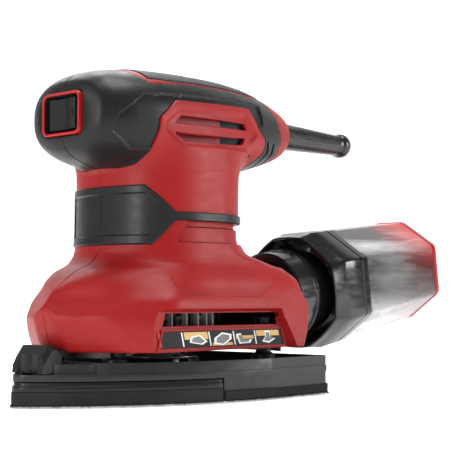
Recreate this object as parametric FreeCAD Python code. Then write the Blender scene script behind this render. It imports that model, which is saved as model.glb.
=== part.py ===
"""Detail (mouse) sander with a pull-off dust canister, as an assembly of separate solids.

Millimetres. The origin is on the sanding face, under the motor shaft. +Z is up, the nose points to -Y,
the dust canister and the cord point to +Y, and +X is the tool's left side.
Each sub-part is written to parts/NODE.step.
"""

import FreeCAD, Part

import math
import os

from FreeCAD import Vector

# --- driving dimensions -------------------------------------------------------------------------

WALL = 2.2  # moulded housing wall
RUBBER = 1.6  # overmoulded grip thickness
LABEL_T = 0.5
SECTION_STEP = 4.5  # spacing of the column's sections
GAP = 0.3  # clearance between faces that move past each other
ORBIT = 0.8  # eccentricity of the orbit drive

# housing, vertical column: height, half width, front reach, rear reach, rear corner radius,
# squareness of the nose, and the place along Y where the nose curve meets the straight side
COLUMN = [
    (21.5, 40.5, 58.0, 56.0, 6.0, 2.5, 6.0),
    (26.0, 42.0, 60.6, 58.5, 6.0, 2.35, 6.0),
    (34.0, 43.0, 63.2, 60.0, 6.0, 2.15, 6.0),
    (39.5, 43.0, 64.0, 60.3, 6.5, 2.0, 6.0),
    (45.0, 41.4, 59.5, 60.2, 8.5, 2.05, 5.0),
    (50.0, 39.2, 53.0, 59.6, 11.0, 2.2, 4.0),
    (54.0, 36.8, 46.8, 58.0, 16.0, 2.3, 2.0),
    (58.0, 34.8, 38.0, 53.0, 23.0, 2.35, 1.0),
    (63.0, 33.6, 34.2, 42.0, 27.0, 2.4, 0.0),
    (70.0, 33.2, 33.2, 35.0, 28.5, 2.4, 0.0),
    (85.0, 33.2, 33.0, 34.4, 28.5, 2.4, 0.0),
    (98.0, 33.2, 33.4, 34.8, 28.5, 2.4, 0.0),
    (110.0, 31.0, 34.0, 34.4, 27.0, 2.3, 0.0),
]
# housing, handle: place along Y, half width, top, bottom, squareness
HANDLE = [
    (-54.5, 17.0, 129.4, 106.0, 2.6),
    (-52.0, 21.2, 132.4, 103.0, 2.45),
    (-47.0, 25.4, 135.6, 100.2, 2.35),
    (-38.0, 29.0, 138.2, 97.6, 2.25),
    (-22.0, 31.4, 140.2, 95.6, 2.25),
    (0.0, 31.4, 141.4, 94.6, 2.25),
    (22.0, 29.2, 141.8, 96.2, 2.25),
    (40.0, 25.6, 141.0, 99.6, 2.25),
    (54.0, 22.0, 139.0, 103.2, 2.2),
    (66.0, 18.4, 136.2, 106.6, 2.2),
    (75.0, 14.8, 133.4, 109.8, 2.15),
    (81.0, 10.6, 130.4, 114.0, 2.1),
]
# side outlines as (Y, Z)
GRIP_SIDE = [
    (-70, 96.8), (-33, 96.8), (-30.5, 98.2), (-28.6, 103), (-28.1, 112.5), (-28.1, 116.8), (-19, 125.1),
    (32, 128.1), (38.3, 121.2), (42, 118.5), (47.4, 115.4), (49.2, 110.7), (45.5, 106.4), (40, 101.5),
    (37, 96), (37, 90), (60, 90), (64.6, 110), (64.6, 117.2), (61.9, 124), (55.5, 132.5), (50, 150),
    (-70, 150),
]
BAND_SIDE = [
    (-60, 65.0), (-26.5, 65.0), (-18.5, 75.0), (60, 75.4), (60, 79.2), (-18.5, 78.8), (-28.1, 89.8),
    (-60, 88.8),
]
BAND_PROUD = 1.0
VENT_UPPER = [(-19.0, 115.8), (-15.4, 119.1), (29.2, 121.4), (31.5, 118.2)]
VENT_LOWER = [(-19.6, 111.6), (30.4, 114.1), (28.3, 110.8), (-14.5, 108.4)]
OUTLET_SIDE = [(-37.5, 32.0), (28.6, 32.0), (26.2, 37.2), (-36.0, 37.2)]
LABEL_SIDE = [(-41.5, 23.2), (36.4, 22.6), (31.0, 29.8), (-38.0, 29.8)]
# the skirt's edge lifts over the catch
NOSE_RISE = [(-90, 10), (-90, 25.8), (-62.5, 25.2), (-57.5, 21.4), (-57.5, 10)]
# the textured top pad and the bare stripe round it, each as half an outline in (X, Y)
TOP_PAD = [(0, -38), (13, -34.5), (24.4, -28), (24, -19), (23, 8), (21, 28), (18.6, 41), (12, 55), (0, 59)]
TOP_STRIPE = [
    (0, -47), (12.5, -43), (20.8, -39.4), (25.9, -34), (26.2, -26), (25.2, -8), (24.3, 10), (22.4, 28),
    (20.4, 41), (14, 58), (0, 65),
]

# sanding base: a teardrop of tangent arcs and lines
PAD_NOSE_Y = -78.0
PAD_NOSE_R = 6.5
PAD_HALF_W = 49.0
PAD_SIDE_Y = 22.0  # the flank arc ends here and the straight side begins
PAD_REAR_Y = 64.0
PAD_CORNER_R = 5.5
HOOK_T = 1.4  # hook-and-loop sheet
FOAM_T = 3.6  # foam under the platen
PLATEN_BOTTOM = HOOK_T + FOAM_T
PLATEN_TOP = 17.5
NOSE_STEP_Y = -54.5  # in front of this the platen's wall steps in, round the catch
NOSE_SHELF_Z = 13.2
TIP_SPLIT = -6.5  # where the removable front plate meets the fixed rear pad
TIP_GAP = 1.2
TIP_PLATE_BOTTOM = 6.5
TIP_PLATE_TOP = 10.2
LATCH_HALF_W = 9.5
LATCH_BACK_Y = -61.8
LATCH_TOP = 24.4
LATCH_TONGUE_Y = -66.0
LATCH_TRAVEL = 6.0

# drive, on the Z axis
BEARING_SMALL = (3.0, 9.5, 6.0)  # bore radius, outer radius, width
BEARING_LARGE = (4.0, 11.0, 7.0)
BEARING_PAD = (6.0, 14.0, 8.0)
SHAFT_TOP = 115.0
UPPER_BEARING_Z = 107.5
LOWER_BEARING_Z = 44.0
PAD_BEARING_Z = 9.5
DECK_Z = 38.0
DECK_T = 2.0
FAN_Z = (26.5, 37.0)
FAN_R = 24.5
CORE_Z = (58.0, 84.0)
COMMUTATOR_Z = (92.0, 103.5)
RETAINER_TOP = PLATEN_TOP + 0.8
RETAINER_SCREW_CIRCLE = 16.0

# dust canister, along its own tilted axis
DUST_TILT = 8.0  # degrees above the horizontal
DUST_START = Vector(0, 60, 41.0)  # the axis where it leaves the housing
SPIGOT_R = 17.0
CAN_HALF_W = 29.7
CAN_HALF_H = 29.0
CAN_FLAT_TOP = 9.0  # half width of the top and bottom faces
CAN_FLAT_SIDE = 14.3  # half height of the side faces
CAP_FROM = 40.5
CAP_TO = 62.0
CAN_TO = 131.5
END_CAP_FROM = 123.5
CAN_WALL = 2.0
CAN_TAPER = 0.027  # how much every face closes in per mm of length

# switch in the front of the handle, cord guard in its tail
SWITCH_PIVOT = (-48.5, 118.1)  # Y and Z of the rocker's vertical pin
BEZEL_Y = (-55.8, -51.4)  # front and back of the frame
ROCKER_HALF_H = 6.4
CORD_AXIS_Z = 123.5
GUARD_BORE_R = 3.6
GUARD_FROM = 69.5
GUARD_TO = 139.0

# housing screws as (Y, Z), driven from the right half
SCREWS = [(-42, 104.4), (20, 132.6), (56, 112.5), (-46, 46.0), (-26.0, 96.4), (26.0, 96.4)]
SCREW_R = 1.5
SCREW_HEAD_R = 2.8

FRONT_POST = (19.0, -42.0)
REAR_POST = (31.0, 36.0)
POST_R = 5.0

FAR = 200.0  # larger than the tool, for cutting boxes


# --- shape helpers --------------------------------------------------------------------------------


def save(name, shape):
    """Writes one sub-part."""
    if not shape.isValid():
        print("not valid:", name)
    if shape.ShapeType == "Compound" and len(shape.Solids) == 1:
        shape = shape.Solids[0]
    print(f"{name}: {len(shape.Solids)} solid(s), {shape.Volume / 1000:.2f} cm3")
    shape.exportStep(f"parts/{name}.step")


def box(x, y, z):
    """A box from three (low, high) pairs."""
    return Part.makeBox(x[1] - x[0], y[1] - y[0], z[1] - z[0], Vector(x[0], y[0], z[0]))


def tube(inner, outer, low, high, x=0.0, y=0.0):
    """A vertical ring, or a disc when inner is 0."""
    ring = Part.makeCylinder(outer, high - low, Vector(x, y, low))
    if inner:
        ring = ring.cut(Part.makeCylinder(inner, high - low, Vector(x, y, low)))
    return ring


def rod_x(radius, x0, x1, y, z):
    """A cylinder along X."""
    return Part.makeCylinder(radius, x1 - x0, Vector(x0, y, z), Vector(1, 0, 0))


def side_prism(points, x0=-FAR, x1=FAR):
    """A side outline in (Y, Z), extruded along X."""
    wire = Part.makePolygon([Vector(x0, y, z) for y, z in points + points[:1]])
    return Part.Face(wire).extrude(Vector(x1 - x0, 0, 0))


def plan_prism(points, low, high):
    """A plan outline in (X, Y), extruded upwards."""
    wire = Part.makePolygon([Vector(x, y, low) for x, y in points + points[:1]])
    return Part.Face(wire).extrude(Vector(0, 0, high - low))


def mirrored(shape):
    return shape.mirror(Vector(0, 0, 0), Vector(1, 0, 0))


def both_sides(shape):
    """The shape and its mirror image, as one compound."""
    return Part.makeCompound([shape, mirrored(shape)])


def together(shapes):
    """One solid from several that touch or overlap."""
    first = shapes[0]
    for other in shapes[1:]:
        first = first.fuse(other)
    return first.removeSplitter()


def closed_curve(points):
    curve = Part.BSplineCurve()
    curve.interpolate(Points=points, PeriodicFlag=True)
    return Part.Wire(curve.toShape())


def power(value, exponent):
    return math.copysign(abs(value) ** exponent, value)


# --- the outer form -------------------------------------------------------------------------------


def between(table, place):
    """The row of a section table at any place, by monotone cubic curves through its columns."""
    places = [row[0] for row in table]
    i = max(k for k in range(len(table) - 1) if places[k] <= place or k == 0)
    gap = places[i + 1] - places[i]
    u = (place - places[i]) / gap
    row = [place]
    for column in range(1, len(table[0])):
        values = [r[column] for r in table]
        slopes = [(values[k + 1] - values[k]) / (places[k + 1] - places[k]) for k in range(len(table) - 1)]

        def tangent(k):
            if k == 0 or k == len(slopes):
                return slopes[min(k, len(slopes) - 1)]
            before, after = slopes[k - 1], slopes[k]
            return 2 * before * after / (before + after) if before * after > 0 else 0.0

        row.append(
            (1 + 2 * u) * (1 - u) ** 2 * values[i]
            + u * (1 - u) ** 2 * gap * tangent(i)
            + u * u * (3 - 2 * u) * values[i + 1]
            - u * u * (1 - u) * gap * tangent(i + 1)
        )
    return row


def smooth_edge(points, start_way, end_way):
    """A curve through the points that leaves and arrives in the given directions."""
    curve = Part.BSplineCurve()
    curve.interpolate(Points=points, InitialTangent=start_way, FinalTangent=end_way)
    return curve.toShape()


def column_wire(section, inset):
    """One plan section of the column: rounded nose, straight sides, rounded rear corners."""
    z, half_width, front, rear, corner, squareness, side_start = section
    half_width, front, rear, corner = half_width - inset, front - inset, rear - inset, corner - inset
    nose = []
    for k in range(9):
        t = math.pi / 2 * k / 8
        x = half_width * power(math.sin(t), 2 / squareness)
        nose.append(Vector(x, side_start - (front + side_start) * power(math.cos(t), 2 / squareness), z))
    turn = []
    for k in range(5):
        t = math.pi / 2 * k / 4
        across, along = corner * math.cos(t), corner * math.sin(t)
        turn.append(Vector(half_width - corner + across, rear - corner + along, z))
    right = [
        smooth_edge(nose, Vector(1, 0, 0), Vector(0, 1, 0)),
        Part.makeLine(nose[-1], turn[0]),
        smooth_edge(turn, Vector(0, 1, 0), Vector(-1, 0, 0)),
        Part.makeLine(turn[-1], Vector(0, rear, z)),
    ]
    left = [mirrored(edge) for edge in reversed(right)]
    return Part.Wire(Part.__sortEdges__(right + left))


def column_form(inset):
    """The skirt and neck, loft of plan sections, moved in by inset."""
    low, high = COLUMN[0][0], COLUMN[-1][0]
    count = round((high - low) / SECTION_STEP)
    wires = [column_wire(between(COLUMN, low + (high - low) * k / count), inset) for k in range(count + 1)]
    return Part.makeLoft(wires, True, False)


def column_below(inset, low):
    """The lowest plan section carried straight down."""
    wire = column_wire(COLUMN[0], inset)
    return Part.Face(wire).extrude(Vector(0, 0, low - COLUMN[0][0]))


def handle_form(inset):
    """The handle, loft of rounded upright sections along Y, moved in by inset."""
    first, last = HANDLE[0][0], HANDLE[-1][0]
    squeeze = (last - first - 2 * inset) / (last - first)
    # sections stand closer together at the blunt front end
    places = [first + (last - first) * (k / 22) ** 1.35 for k in range(23)]
    wires = []
    for place in places:
        y, half_width, top, bottom, squareness = between(HANDLE, place)
        centre, half_height = (top + bottom) / 2, (top - bottom) / 2 - inset
        points = []
        for k in range(24):
            t = 2 * math.pi * k / 24
            x = (half_width - inset) * power(math.cos(t), 2 / squareness)
            z = centre + half_height * power(math.sin(t), 2 / squareness)
            points.append(Vector(x, first + inset + (y - first) * squeeze, z))
        wires.append(closed_curve(points))
    return Part.makeLoft(wires, True, False)


def outer_form(inset):
    return column_form(inset).fuse(handle_form(inset))


def pad_wire(inset, z):
    """The base outline, moved in by inset, at height z."""
    nose_r, half_w, corner = PAD_NOSE_R - inset, PAD_HALF_W - inset, PAD_CORNER_R - inset
    rear = PAD_REAR_Y - inset
    nose_y = PAD_NOSE_Y + PAD_NOSE_R
    # the flank arc touches the straight side and the nose arc
    reach = PAD_SIDE_Y - nose_y
    flank_r = (reach**2 + PAD_HALF_W**2 - PAD_NOSE_R**2) / (2 * (PAD_HALF_W - PAD_NOSE_R))
    centre = Vector(PAD_HALF_W - flank_r, PAD_SIDE_Y, z)
    towards_nose = (Vector(0, nose_y, z) - centre).normalize()
    touch = centre + towards_nose * (flank_r - inset)
    mid_way = (towards_nose + Vector(1, 0, 0)).normalize()
    half = Vector(math.sqrt(0.5), math.sqrt(0.5), 0) * corner
    tip = Vector(0, nose_y - nose_r, z)
    tip_mid = Vector(0, nose_y, z) + (towards_nose + Vector(0, -1, 0)).normalize() * nose_r
    side_end = Vector(half_w, rear - corner, z)
    rear_start = Vector(half_w - corner, rear, z)
    right = [
        Part.Arc(tip, tip_mid, touch).toShape(),
        Part.Arc(touch, centre + mid_way * (flank_r - inset), Vector(half_w, PAD_SIDE_Y, z)).toShape(),
        Part.makeLine(Vector(half_w, PAD_SIDE_Y, z), side_end),
        Part.Arc(side_end, Vector(half_w - corner, rear - corner, z) + half, rear_start).toShape(),
        Part.makeLine(rear_start, Vector(0, rear, z)),
    ]
    left = [mirrored(edge) for edge in reversed(right)]
    return Part.Wire(Part.__sortEdges__(right + left))


def pad_slab(inset, low, high):
    return Part.Face(pad_wire(inset, low)).extrude(Vector(0, 0, high - low))


def octagon(inset):
    """Corners of the canister's section, with every face moved in by inset."""
    slope = math.atan2(CAN_HALF_H - CAN_FLAT_SIDE, CAN_HALF_W - CAN_FLAT_TOP)
    side = CAN_FLAT_SIDE - inset * (1 - math.sin(slope)) / math.cos(slope)
    top = CAN_FLAT_TOP - inset * (1 - math.cos(slope)) / math.sin(slope)
    wide, high = CAN_HALF_W - inset, CAN_HALF_H - inset
    return [
        (wide, side), (top, high), (-top, high), (-wide, side),
        (-wide, -side), (-top, -high), (top, -high), (wide, -side),
    ]


def along_dust(shape):
    """Moves a shape made along +Z at the origin onto the dust axis, its own Y to the tool's -Z."""
    shape = shape.copy()
    shape.rotate(Vector(0, 0, 0), Vector(1, 0, 0), DUST_TILT - 90)
    shape.translate(DUST_START)
    return shape


def can_prism(inset, start, end, edge_r=3.0):
    """The canister's eight-sided form between two places on its axis, tapered, with rounded long edges."""
    wires = []
    for place in (start, end):
        points = [Vector(x, y, place) for x, y in octagon(inset + CAN_TAPER * (place - CAP_FROM))]
        wires.append(Part.makePolygon(points + points[:1]))
    solid = Part.makeLoft(wires, True, True)
    long_edges = [e for e in solid.Edges if e.BoundBox.ZLength > 0.1]
    return solid.makeFillet(max(edge_r - inset, 0.6), long_edges)


def dust_ring(inner, outer, start, end):
    return tube(inner, outer, start, end)


# --- housing --------------------------------------------------------------------------------------


def screw_bosses(cavity):
    """Bosses across both halves, cut back to the cavity."""
    rods = [rod_x(4.8, -45, 45, y, z) for y, z in SCREWS]
    bosses = rods[0]
    for rod in rods[1:]:
        bosses = bosses.fuse(rod)
    return bosses.common(cavity)


def screw_holes():
    """What the screws need cut away: a head recess and clearance in the right half, a pilot in the left."""
    cuts = []
    for y, z in SCREWS:
        cuts.append(rod_x(SCREW_HEAD_R + 0.4, -FAR, -12, y, z))
        cuts.append(rod_x(SCREW_R + 0.2, -12, 0, y, z))
        cuts.append(rod_x(SCREW_R + 0.02, 0, 14, y, z))
    return Part.makeCompound(cuts)


def post_sockets():
    """Pockets under the deck that the base's rubber posts move in."""
    cups = []
    for x, y in (FRONT_POST, REAR_POST):
        cup = tube(POST_R + 2.0, POST_R + 3.8, DECK_Z - 12, DECK_Z, x, y)
        cups.append(cup)
        cups.append(mirrored(cup))
    return cups


def deck(cavity):
    """The floor that carries the motor, inside the skirt."""
    plate = cavity.common(box((-60, 60), (-70, 40), (DECK_Z, DECK_Z + DECK_T)))
    return plate.cut(tube(0, 24, DECK_Z - 1, DECK_Z + DECK_T + 1))


def mirrored_plan(half, low, high):
    """A prism over an outline and its mirror image."""
    return plan_prism(half + [(-x, y) for x, y in reversed(half[1:-1])], low, high)


def waist_band():
    """The rubber band round the neck, slightly proud of it."""
    slice_box = box((-60, 60), (-60, 60), (60, 95))
    ring = column_form(-BAND_PROUD).common(slice_box).cut(column_form(RUBBER).common(slice_box))
    return ring.common(side_prism(BAND_SIDE))


def housing_parts():
    outer = outer_form(0)
    layer = outer.cut(outer_form(RUBBER))
    hollow = WALL + RUBBER * 0.6
    cavity = outer_form(hollow).fuse(column_below(hollow, 10.0))

    band = waist_band()
    grip = layer.common(side_prism(GRIP_SIDE)).cut(mirrored_plan(TOP_STRIPE, 125, 160))
    top_pad = layer.common(mirrored_plan(TOP_PAD, 125, 160))
    label = outer.cut(column_form(LABEL_T)).common(side_prism(LABEL_SIDE))

    shell = outer.cut(cavity)
    additions = [deck(cavity), screw_bosses(cavity)]
    additions += [cup.common(outer_form(0.5)) for cup in post_sockets()]
    for addition in additions:
        shell = shell.fuse(addition)

    holes = screw_holes()
    switch_hole = box((-11.6, 11.6), (-70, -45), (109.2, 127.0))
    guard_hole = Part.makeCylinder(7.0, 40, Vector(0, 60, CORD_AXIS_Z), Vector(0, 1, 0))
    openings = [
        side_prism(VENT_UPPER),
        side_prism(VENT_LOWER),
        side_prism(OUTLET_SIDE),
        side_prism(NOSE_RISE),
        along_dust(tube(0, SPIGOT_R, -20, 20)),
    ]
    for cut in [grip, top_pad, band, label, switch_hole, guard_hole, holes] + openings:
        shell = shell.cut(cut)
    for cut in (switch_hole, guard_hole, holes):
        grip = grip.cut(cut)
        top_pad = top_pad.cut(cut)
        band = band.cut(cut)

    left_half = box((0, FAR), (-FAR, FAR), (-FAR, FAR))
    right_half = box((-FAR, 0), (-FAR, FAR), (-FAR, FAR))
    return {
        "left_housing": shell.common(left_half),
        "right_housing": shell.common(right_half),
        "left_grip": grip.common(left_half),
        "right_grip": grip.common(right_half),
        "top_grip_pad": top_pad,
        "left_waist_band": band.common(left_half),
        "right_waist_band": band.common(right_half),
        "left_label": label.common(left_half),
        "right_label": label.common(right_half),
    }


def housing_screws():
    """Pan-head screws, heads in the right half's recesses."""
    screws = []
    for y, z in SCREWS:
        head = rod_x(SCREW_HEAD_R, -14.2, -12, y, z)
        slot = box((-14.3, -13.2), (y - 2.2, y + 2.2), (z - 0.4, z + 0.4))
        cross = box((-14.3, -13.2), (y - 0.4, y + 0.4), (z - 2.2, z + 2.2))
        shank = rod_x(SCREW_R, -12, 12, y, z)
        screws.append(together([head, shank]).cut(slot).cut(cross))
    return Part.makeCompound(screws)


# --- switch and cord entry ------------------------------------------------------------------------


def upright_edges(solid):
    """The edges that run front to back."""
    return [e for e in solid.Edges if abs(e.Vertexes[0].Y - e.Vertexes[-1].Y) > 1]


def switch_bezel():
    """The coloured frame around the rocker."""
    z = SWITCH_PIVOT[1]
    frame = box((-11.5, 11.5), BEZEL_Y, (z - 8.8, z + 8.8))
    frame = frame.makeFillet(2.4, upright_edges(frame))
    window = box((-10.0, 10.0), (-60, -40), (z - 7.3, z + 7.3))
    window = window.makeFillet(1.6, upright_edges(window))
    return frame.cut(window)


def rocker_button():
    """Two shallow facets that meet at a vertical ridge, rocking about a vertical pin."""
    y0, z = SWITCH_PIVOT
    outline = [
        (-8.3, -54.3), (0.6, -53.2), (8.3, -55.2), (8.9, -53.0), (8.9, -51.0), (3.2, -45.2), (-3.2, -45.2),
        (-8.9, -51.0), (-8.9, -53.0),
    ]
    body = plan_prism(outline, z - ROCKER_HALF_H, z + ROCKER_HALF_H)
    mark = tube(1.5, 2.1, 0, 0.8)
    mark.rotate(Vector(0, 0, 0), Vector(1, 0, 0), 90)
    mark.rotate(Vector(0, 0, 0), Vector(0, 0, 1), -14.6)
    mark.translate(Vector(5.0, -53.9, z))
    pin = tube(0, 1.2, z - 8.3, z + 8.3, 0, y0)
    return together([body, pin, mark])


def switch_body():
    """The switch's box behind the rocker, with a fork for the rocker's pin and two terminals."""
    y0, z = SWITCH_PIVOT
    case = box((-9.0, 9.0), (-42.5, -26.0), (z - 8.6, z + 8.6))
    cheeks = [
        box((-3.5, 3.5), (-51.2, -42.5), (z + 6.7, z + 8.6)),
        box((-3.5, 3.5), (-51.2, -42.5), (z - 8.6, z - 6.7)),
    ]
    terminals = [box((x - 0.4, x + 0.4), (-26.0, -19.5), (z - 3, z + 3)) for x in (-5, 5)]
    body = together([case] + cheeks + terminals)
    return body.cut(tube(0, 1.25, z - 9, z + 9, 0, y0))


def cord_guard():
    """The tapered bend protector with a flange inside the housing and a bead at its free end."""
    profile = [
        (GUARD_BORE_R, GUARD_FROM), (7.5, GUARD_FROM), (7.5, GUARD_FROM + 2.4), (6.9, GUARD_FROM + 2.4),
        (6.8, 82.0), (5.2, GUARD_TO - 6.0), (6.1, GUARD_TO - 4.4), (6.3, GUARD_TO - 2.0), (5.6, GUARD_TO),
        (GUARD_BORE_R, GUARD_TO),
    ]
    points = [Vector(0, y, CORD_AXIS_Z + r) for r, y in profile]
    face = Part.Face(Part.makePolygon(points + points[:1]))
    return face.revolve(Vector(0, 0, CORD_AXIS_Z), Vector(0, 1, 0), 360)


def cord_clamp():
    """The saddle that holds the cord down, inside the handle, on two screws."""
    bar = box((-10, 10), (61.0, 67.0), (CORD_AXIS_Z + 2.5, CORD_AXIS_Z + 6.0))
    groove = Part.makeCylinder(3.4, 10, Vector(0, 60, CORD_AXIS_Z), Vector(0, 1, 0))
    holes = Part.makeCompound([tube(0, 1.6, 100, 140, x, 64.0) for x in (-7, 7)])
    return bar.cut(groove).cut(holes)


def clamp_base():
    """The fixed half of the cord clamp."""
    bar = box((-10, 10), (61.0, 67.0), (CORD_AXIS_Z - 6.0, CORD_AXIS_Z - 1.0))
    groove = Part.makeCylinder(3.4, 10, Vector(0, 60, CORD_AXIS_Z), Vector(0, 1, 0))
    holes = Part.makeCompound([tube(0, 1.28, 100, 140, x, 64.0) for x in (-7, 7)])
    return bar.cut(groove).cut(holes)


def clamp_screws():
    screws = []
    for x in (-7, 7):
        head = tube(0, 2.0, CORD_AXIS_Z + 6.0, CORD_AXIS_Z + 7.2, x, 64.0)
        shank = tube(0, 1.25, CORD_AXIS_Z - 5.0, CORD_AXIS_Z + 6.0, x, 64.0)
        screws.append(together([head, shank]))
    return Part.makeCompound(screws)


# --- motor ------------------------------------------------------------------------------------------


def bearing(spec, low, x=0.0):
    """(outer race with its balls, inner race) of a ball bearing."""
    bore, outside, width = spec
    step = (outside - bore) / 4
    middle = (bore + outside) / 2
    outer = tube(middle + step, outside, low, low + width, x)
    for k in range(7):
        a = 2 * math.pi * k / 7
        pitch = middle + 0.2
        centre = Vector(x + pitch * math.cos(a), pitch * math.sin(a), low + width / 2)
        outer = outer.fuse(Part.makeSphere(step - 0.1, centre))
    return outer, tube(bore, middle - step, low, low + width, x)


def armature_shaft():
    """Stepped shaft from the upper bearing down to the eccentric hub."""
    steps = [
        (BEARING_SMALL[0], UPPER_BEARING_Z, SHAFT_TOP),
        (4.0, 19.5, UPPER_BEARING_Z),
    ]
    return together([tube(0, r, low, high) for r, low, high in steps])


def armature_core():
    """Laminated core with twelve winding slots."""
    core = tube(4.0, 15.4, *CORE_Z)
    for k in range(12):
        a = 2 * math.pi * k / 12
        slot = box((9.0, 17.0), (-1.1, 1.1), (CORE_Z[0] - 1, CORE_Z[1] + 1))
        slot.rotate(Vector(0, 0, 0), Vector(0, 0, 1), math.degrees(a))
        core = core.cut(slot)
    return core


def armature_windings():
    """Copper end turns above and below the core."""
    ends = []
    for low, high in ((CORE_Z[0] - 5, CORE_Z[0]), (CORE_Z[1], CORE_Z[1] + 5)):
        ring = tube(5.5, 14.2, low, high)
        edges = [e for e in ring.Edges if e.Curve.TypeId == "Part::GeomCircle" and e.Curve.Radius > 14]
        ends.append(ring.makeFillet(1.8, edges))
    return Part.makeCompound(ends)


def commutator():
    """Copper segments with saw cuts, on the shaft."""
    drum = tube(4.0, 10.5, *COMMUTATOR_Z)
    for k in range(24):
        cut = box((9.0, 11.0), (-0.3, 0.3), (COMMUTATOR_Z[0] + 2.5, COMMUTATOR_Z[1] + 1))
        cut.rotate(Vector(0, 0, 0), Vector(0, 0, 1), 15.0 * k)
        drum = drum.cut(cut)
    return drum


def fan():
    """Radial fan with a back plate and twelve blades."""
    low, high = FAN_Z
    parts = [tube(4.0, 9.0, low, high - 1.0), tube(9.0, FAN_R, high - 3.0, high - 1.5)]
    for k in range(12):
        blade = box((8.5, FAN_R - 1.5), (-0.7, 0.7), (low, high - 2.0))
        blade.rotate(Vector(14, 0, 0), Vector(0, 0, 1), 20)
        blade.rotate(Vector(0, 0, 0), Vector(0, 0, 1), 30.0 * k)
        parts.append(blade)
    wheel = together(parts)
    return wheel.cut(tube(0, 4.0, low - 1, high + 1))


def eccentric():
    """Hub on the shaft with an offset pin below and a counterweight opposite the pin."""
    hub = tube(4.0, 10.0, 19.5, 26.0)
    plate = tube(0, 10.0, 18.6, 19.5)
    weight = tube(10.0, 23.0, 20.0, 25.0).common(box((-40, -4), (-30, 30), (0, 60)))
    neck = box((-12, -4), (-6, 6), (20.0, 25.0)).cut(tube(0, 9.0, 10, 40))
    pin = tube(0, BEARING_PAD[0], PAD_BEARING_Z, 18.6, ORBIT)
    return together([hub, plate, pin, weight, neck])


def stator_core():
    """Laminated yoke with two poles, on the X sides."""
    yoke = tube(21.5, 27.0, *CORE_Z)
    pole = tube(16.2, 21.5, *CORE_Z).common(box((8, 40), (-18, 18), (0, 200)))
    return together([yoke, pole, mirrored(pole)])


def field_coils():
    """Copper loops around the poles, above and below the core."""
    loops = []
    for low, high in ((CORE_Z[0] - 6, CORE_Z[0]), (CORE_Z[1], CORE_Z[1] + 6)):
        arc = tube(16.8, 25.4, low, high)
        for sign in (-1, 1):
            half = arc.common(box((3, 40), (-24, 24), (0, 200)))
            if sign < 0:
                half = mirrored(half)
            loops.append(half)
    return Part.makeCompound(loops)


def motor_bracket():
    """Lower bearing plate with three spokes, standing on the deck."""
    low = LOWER_BEARING_Z
    seat = tube(BEARING_LARGE[1], 14.0, low, low + BEARING_LARGE[2])
    seat = seat.fuse(tube(6.0, 14.0, low - 1.2, low))
    ring = tube(26.0, 30.0, DECK_Z + DECK_T, low + 4)
    spokes = []
    for k in range(4):
        spoke = box((13.0, 27.0), (-3.5, 3.5), (low, low + 4))
        spoke.rotate(Vector(0, 0, 0), Vector(0, 0, 1), 45 + 90.0 * k)
        spokes.append(spoke)
    return together([seat, ring] + spokes).cut(tube(0, BEARING_LARGE[1], low, low + 20))


def bracket_columns():
    """Four pillars from the bracket that carry the stator."""
    pillars = []
    for k in range(4):
        a = math.radians(45 + 90 * k)
        x, y = 28.0 * math.cos(a), 28.0 * math.sin(a)
        pillars.append(tube(0, 2.4, LOWER_BEARING_Z + 4, CORE_Z[0] - 6.2, x, y))
    return Part.makeCompound(pillars)


def fan_guard():
    """The cage of fins around the fan, hanging from the deck."""
    parts = [tube(26.4, 28.4, 26.0, 28.0), tube(26.4, 28.4, DECK_Z - 1.5, DECK_Z)]
    for k in range(24):
        fin = box((26.6, 28.2), (-0.4, 0.4), (27.5, DECK_Z - 1.0))
        fin.rotate(Vector(0, 0, 0), Vector(0, 0, 1), 15.0 * k + 1.4)
        parts.append(fin)
    return together(parts)


def upper_bearing_boot():
    """Rubber cup that holds the upper bearing."""
    low = UPPER_BEARING_Z
    cup = tube(BEARING_SMALL[1], 12.0, low - 0.5, low + BEARING_SMALL[2] + 2.5)
    lid = tube(5.0, BEARING_SMALL[1], low + BEARING_SMALL[2], low + BEARING_SMALL[2] + 2.5)
    return cup.fuse(lid).removeSplitter()


def bearing_saddle():
    """The upper bearing's cross wall, from front to back of the handle."""
    low = UPPER_BEARING_Z - 0.5
    bar = box((-6, 6), (-31.5, 31.5), (low, low + 4.0))
    ring = tube(0, 15.0, low, low + 6.0)
    under_switch = box((-7, 7), (-32, -25.5), (SWITCH_PIVOT[1] - 8.6 - GAP, FAR))
    return bar.fuse(ring).removeSplitter().cut([tube(0, 12.1, low - 1, low + 10), under_switch])


def brush_holders():
    """Brass boxes for the brushes, on the X sides of the commutator."""
    low, high = COMMUTATOR_Z[0] + 3.0, COMMUTATOR_Z[0] + 10.0
    case = box((12.0, 27.0), (-4.4, 4.4), (low - 1, high + 1))
    bore = box((11.0, 26.0), (-3.2, 3.2), (low, high))
    return both_sides(case.cut(bore))


def carbon_brushes():
    low, high = COMMUTATOR_Z[0] + 3.1, COMMUTATOR_Z[0] + 9.9
    brush = box((10.9, 19.5), (-3.1, 3.1), (low, high))
    return both_sides(brush.cut(tube(0, 10.9, low - 1, high + 1)))


def brush_springs():
    """Springs behind the brushes, each drawn as a ribbed sleeve."""
    z = COMMUTATOR_Z[0] + 6.5
    ribs = [tube(1.6, 2.3, k * 1.4, k * 1.4 + 0.6) for k in range(5)]
    spring = together([tube(1.6, 2.0, 0.0, 6.2)] + ribs)
    spring.rotate(Vector(0, 0, 0), Vector(0, 1, 0), 90)
    spring.translate(Vector(19.7, 0, z))
    return both_sides(spring)


def suppressor():
    """Interference capacitor in the handle, behind the motor."""
    block = box((-8, 8), (34.0, 50.0), (112.0, 124.0))
    return block.makeFillet(1.2, block.Edges)


# --- sanding base -----------------------------------------------------------------------------------


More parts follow.
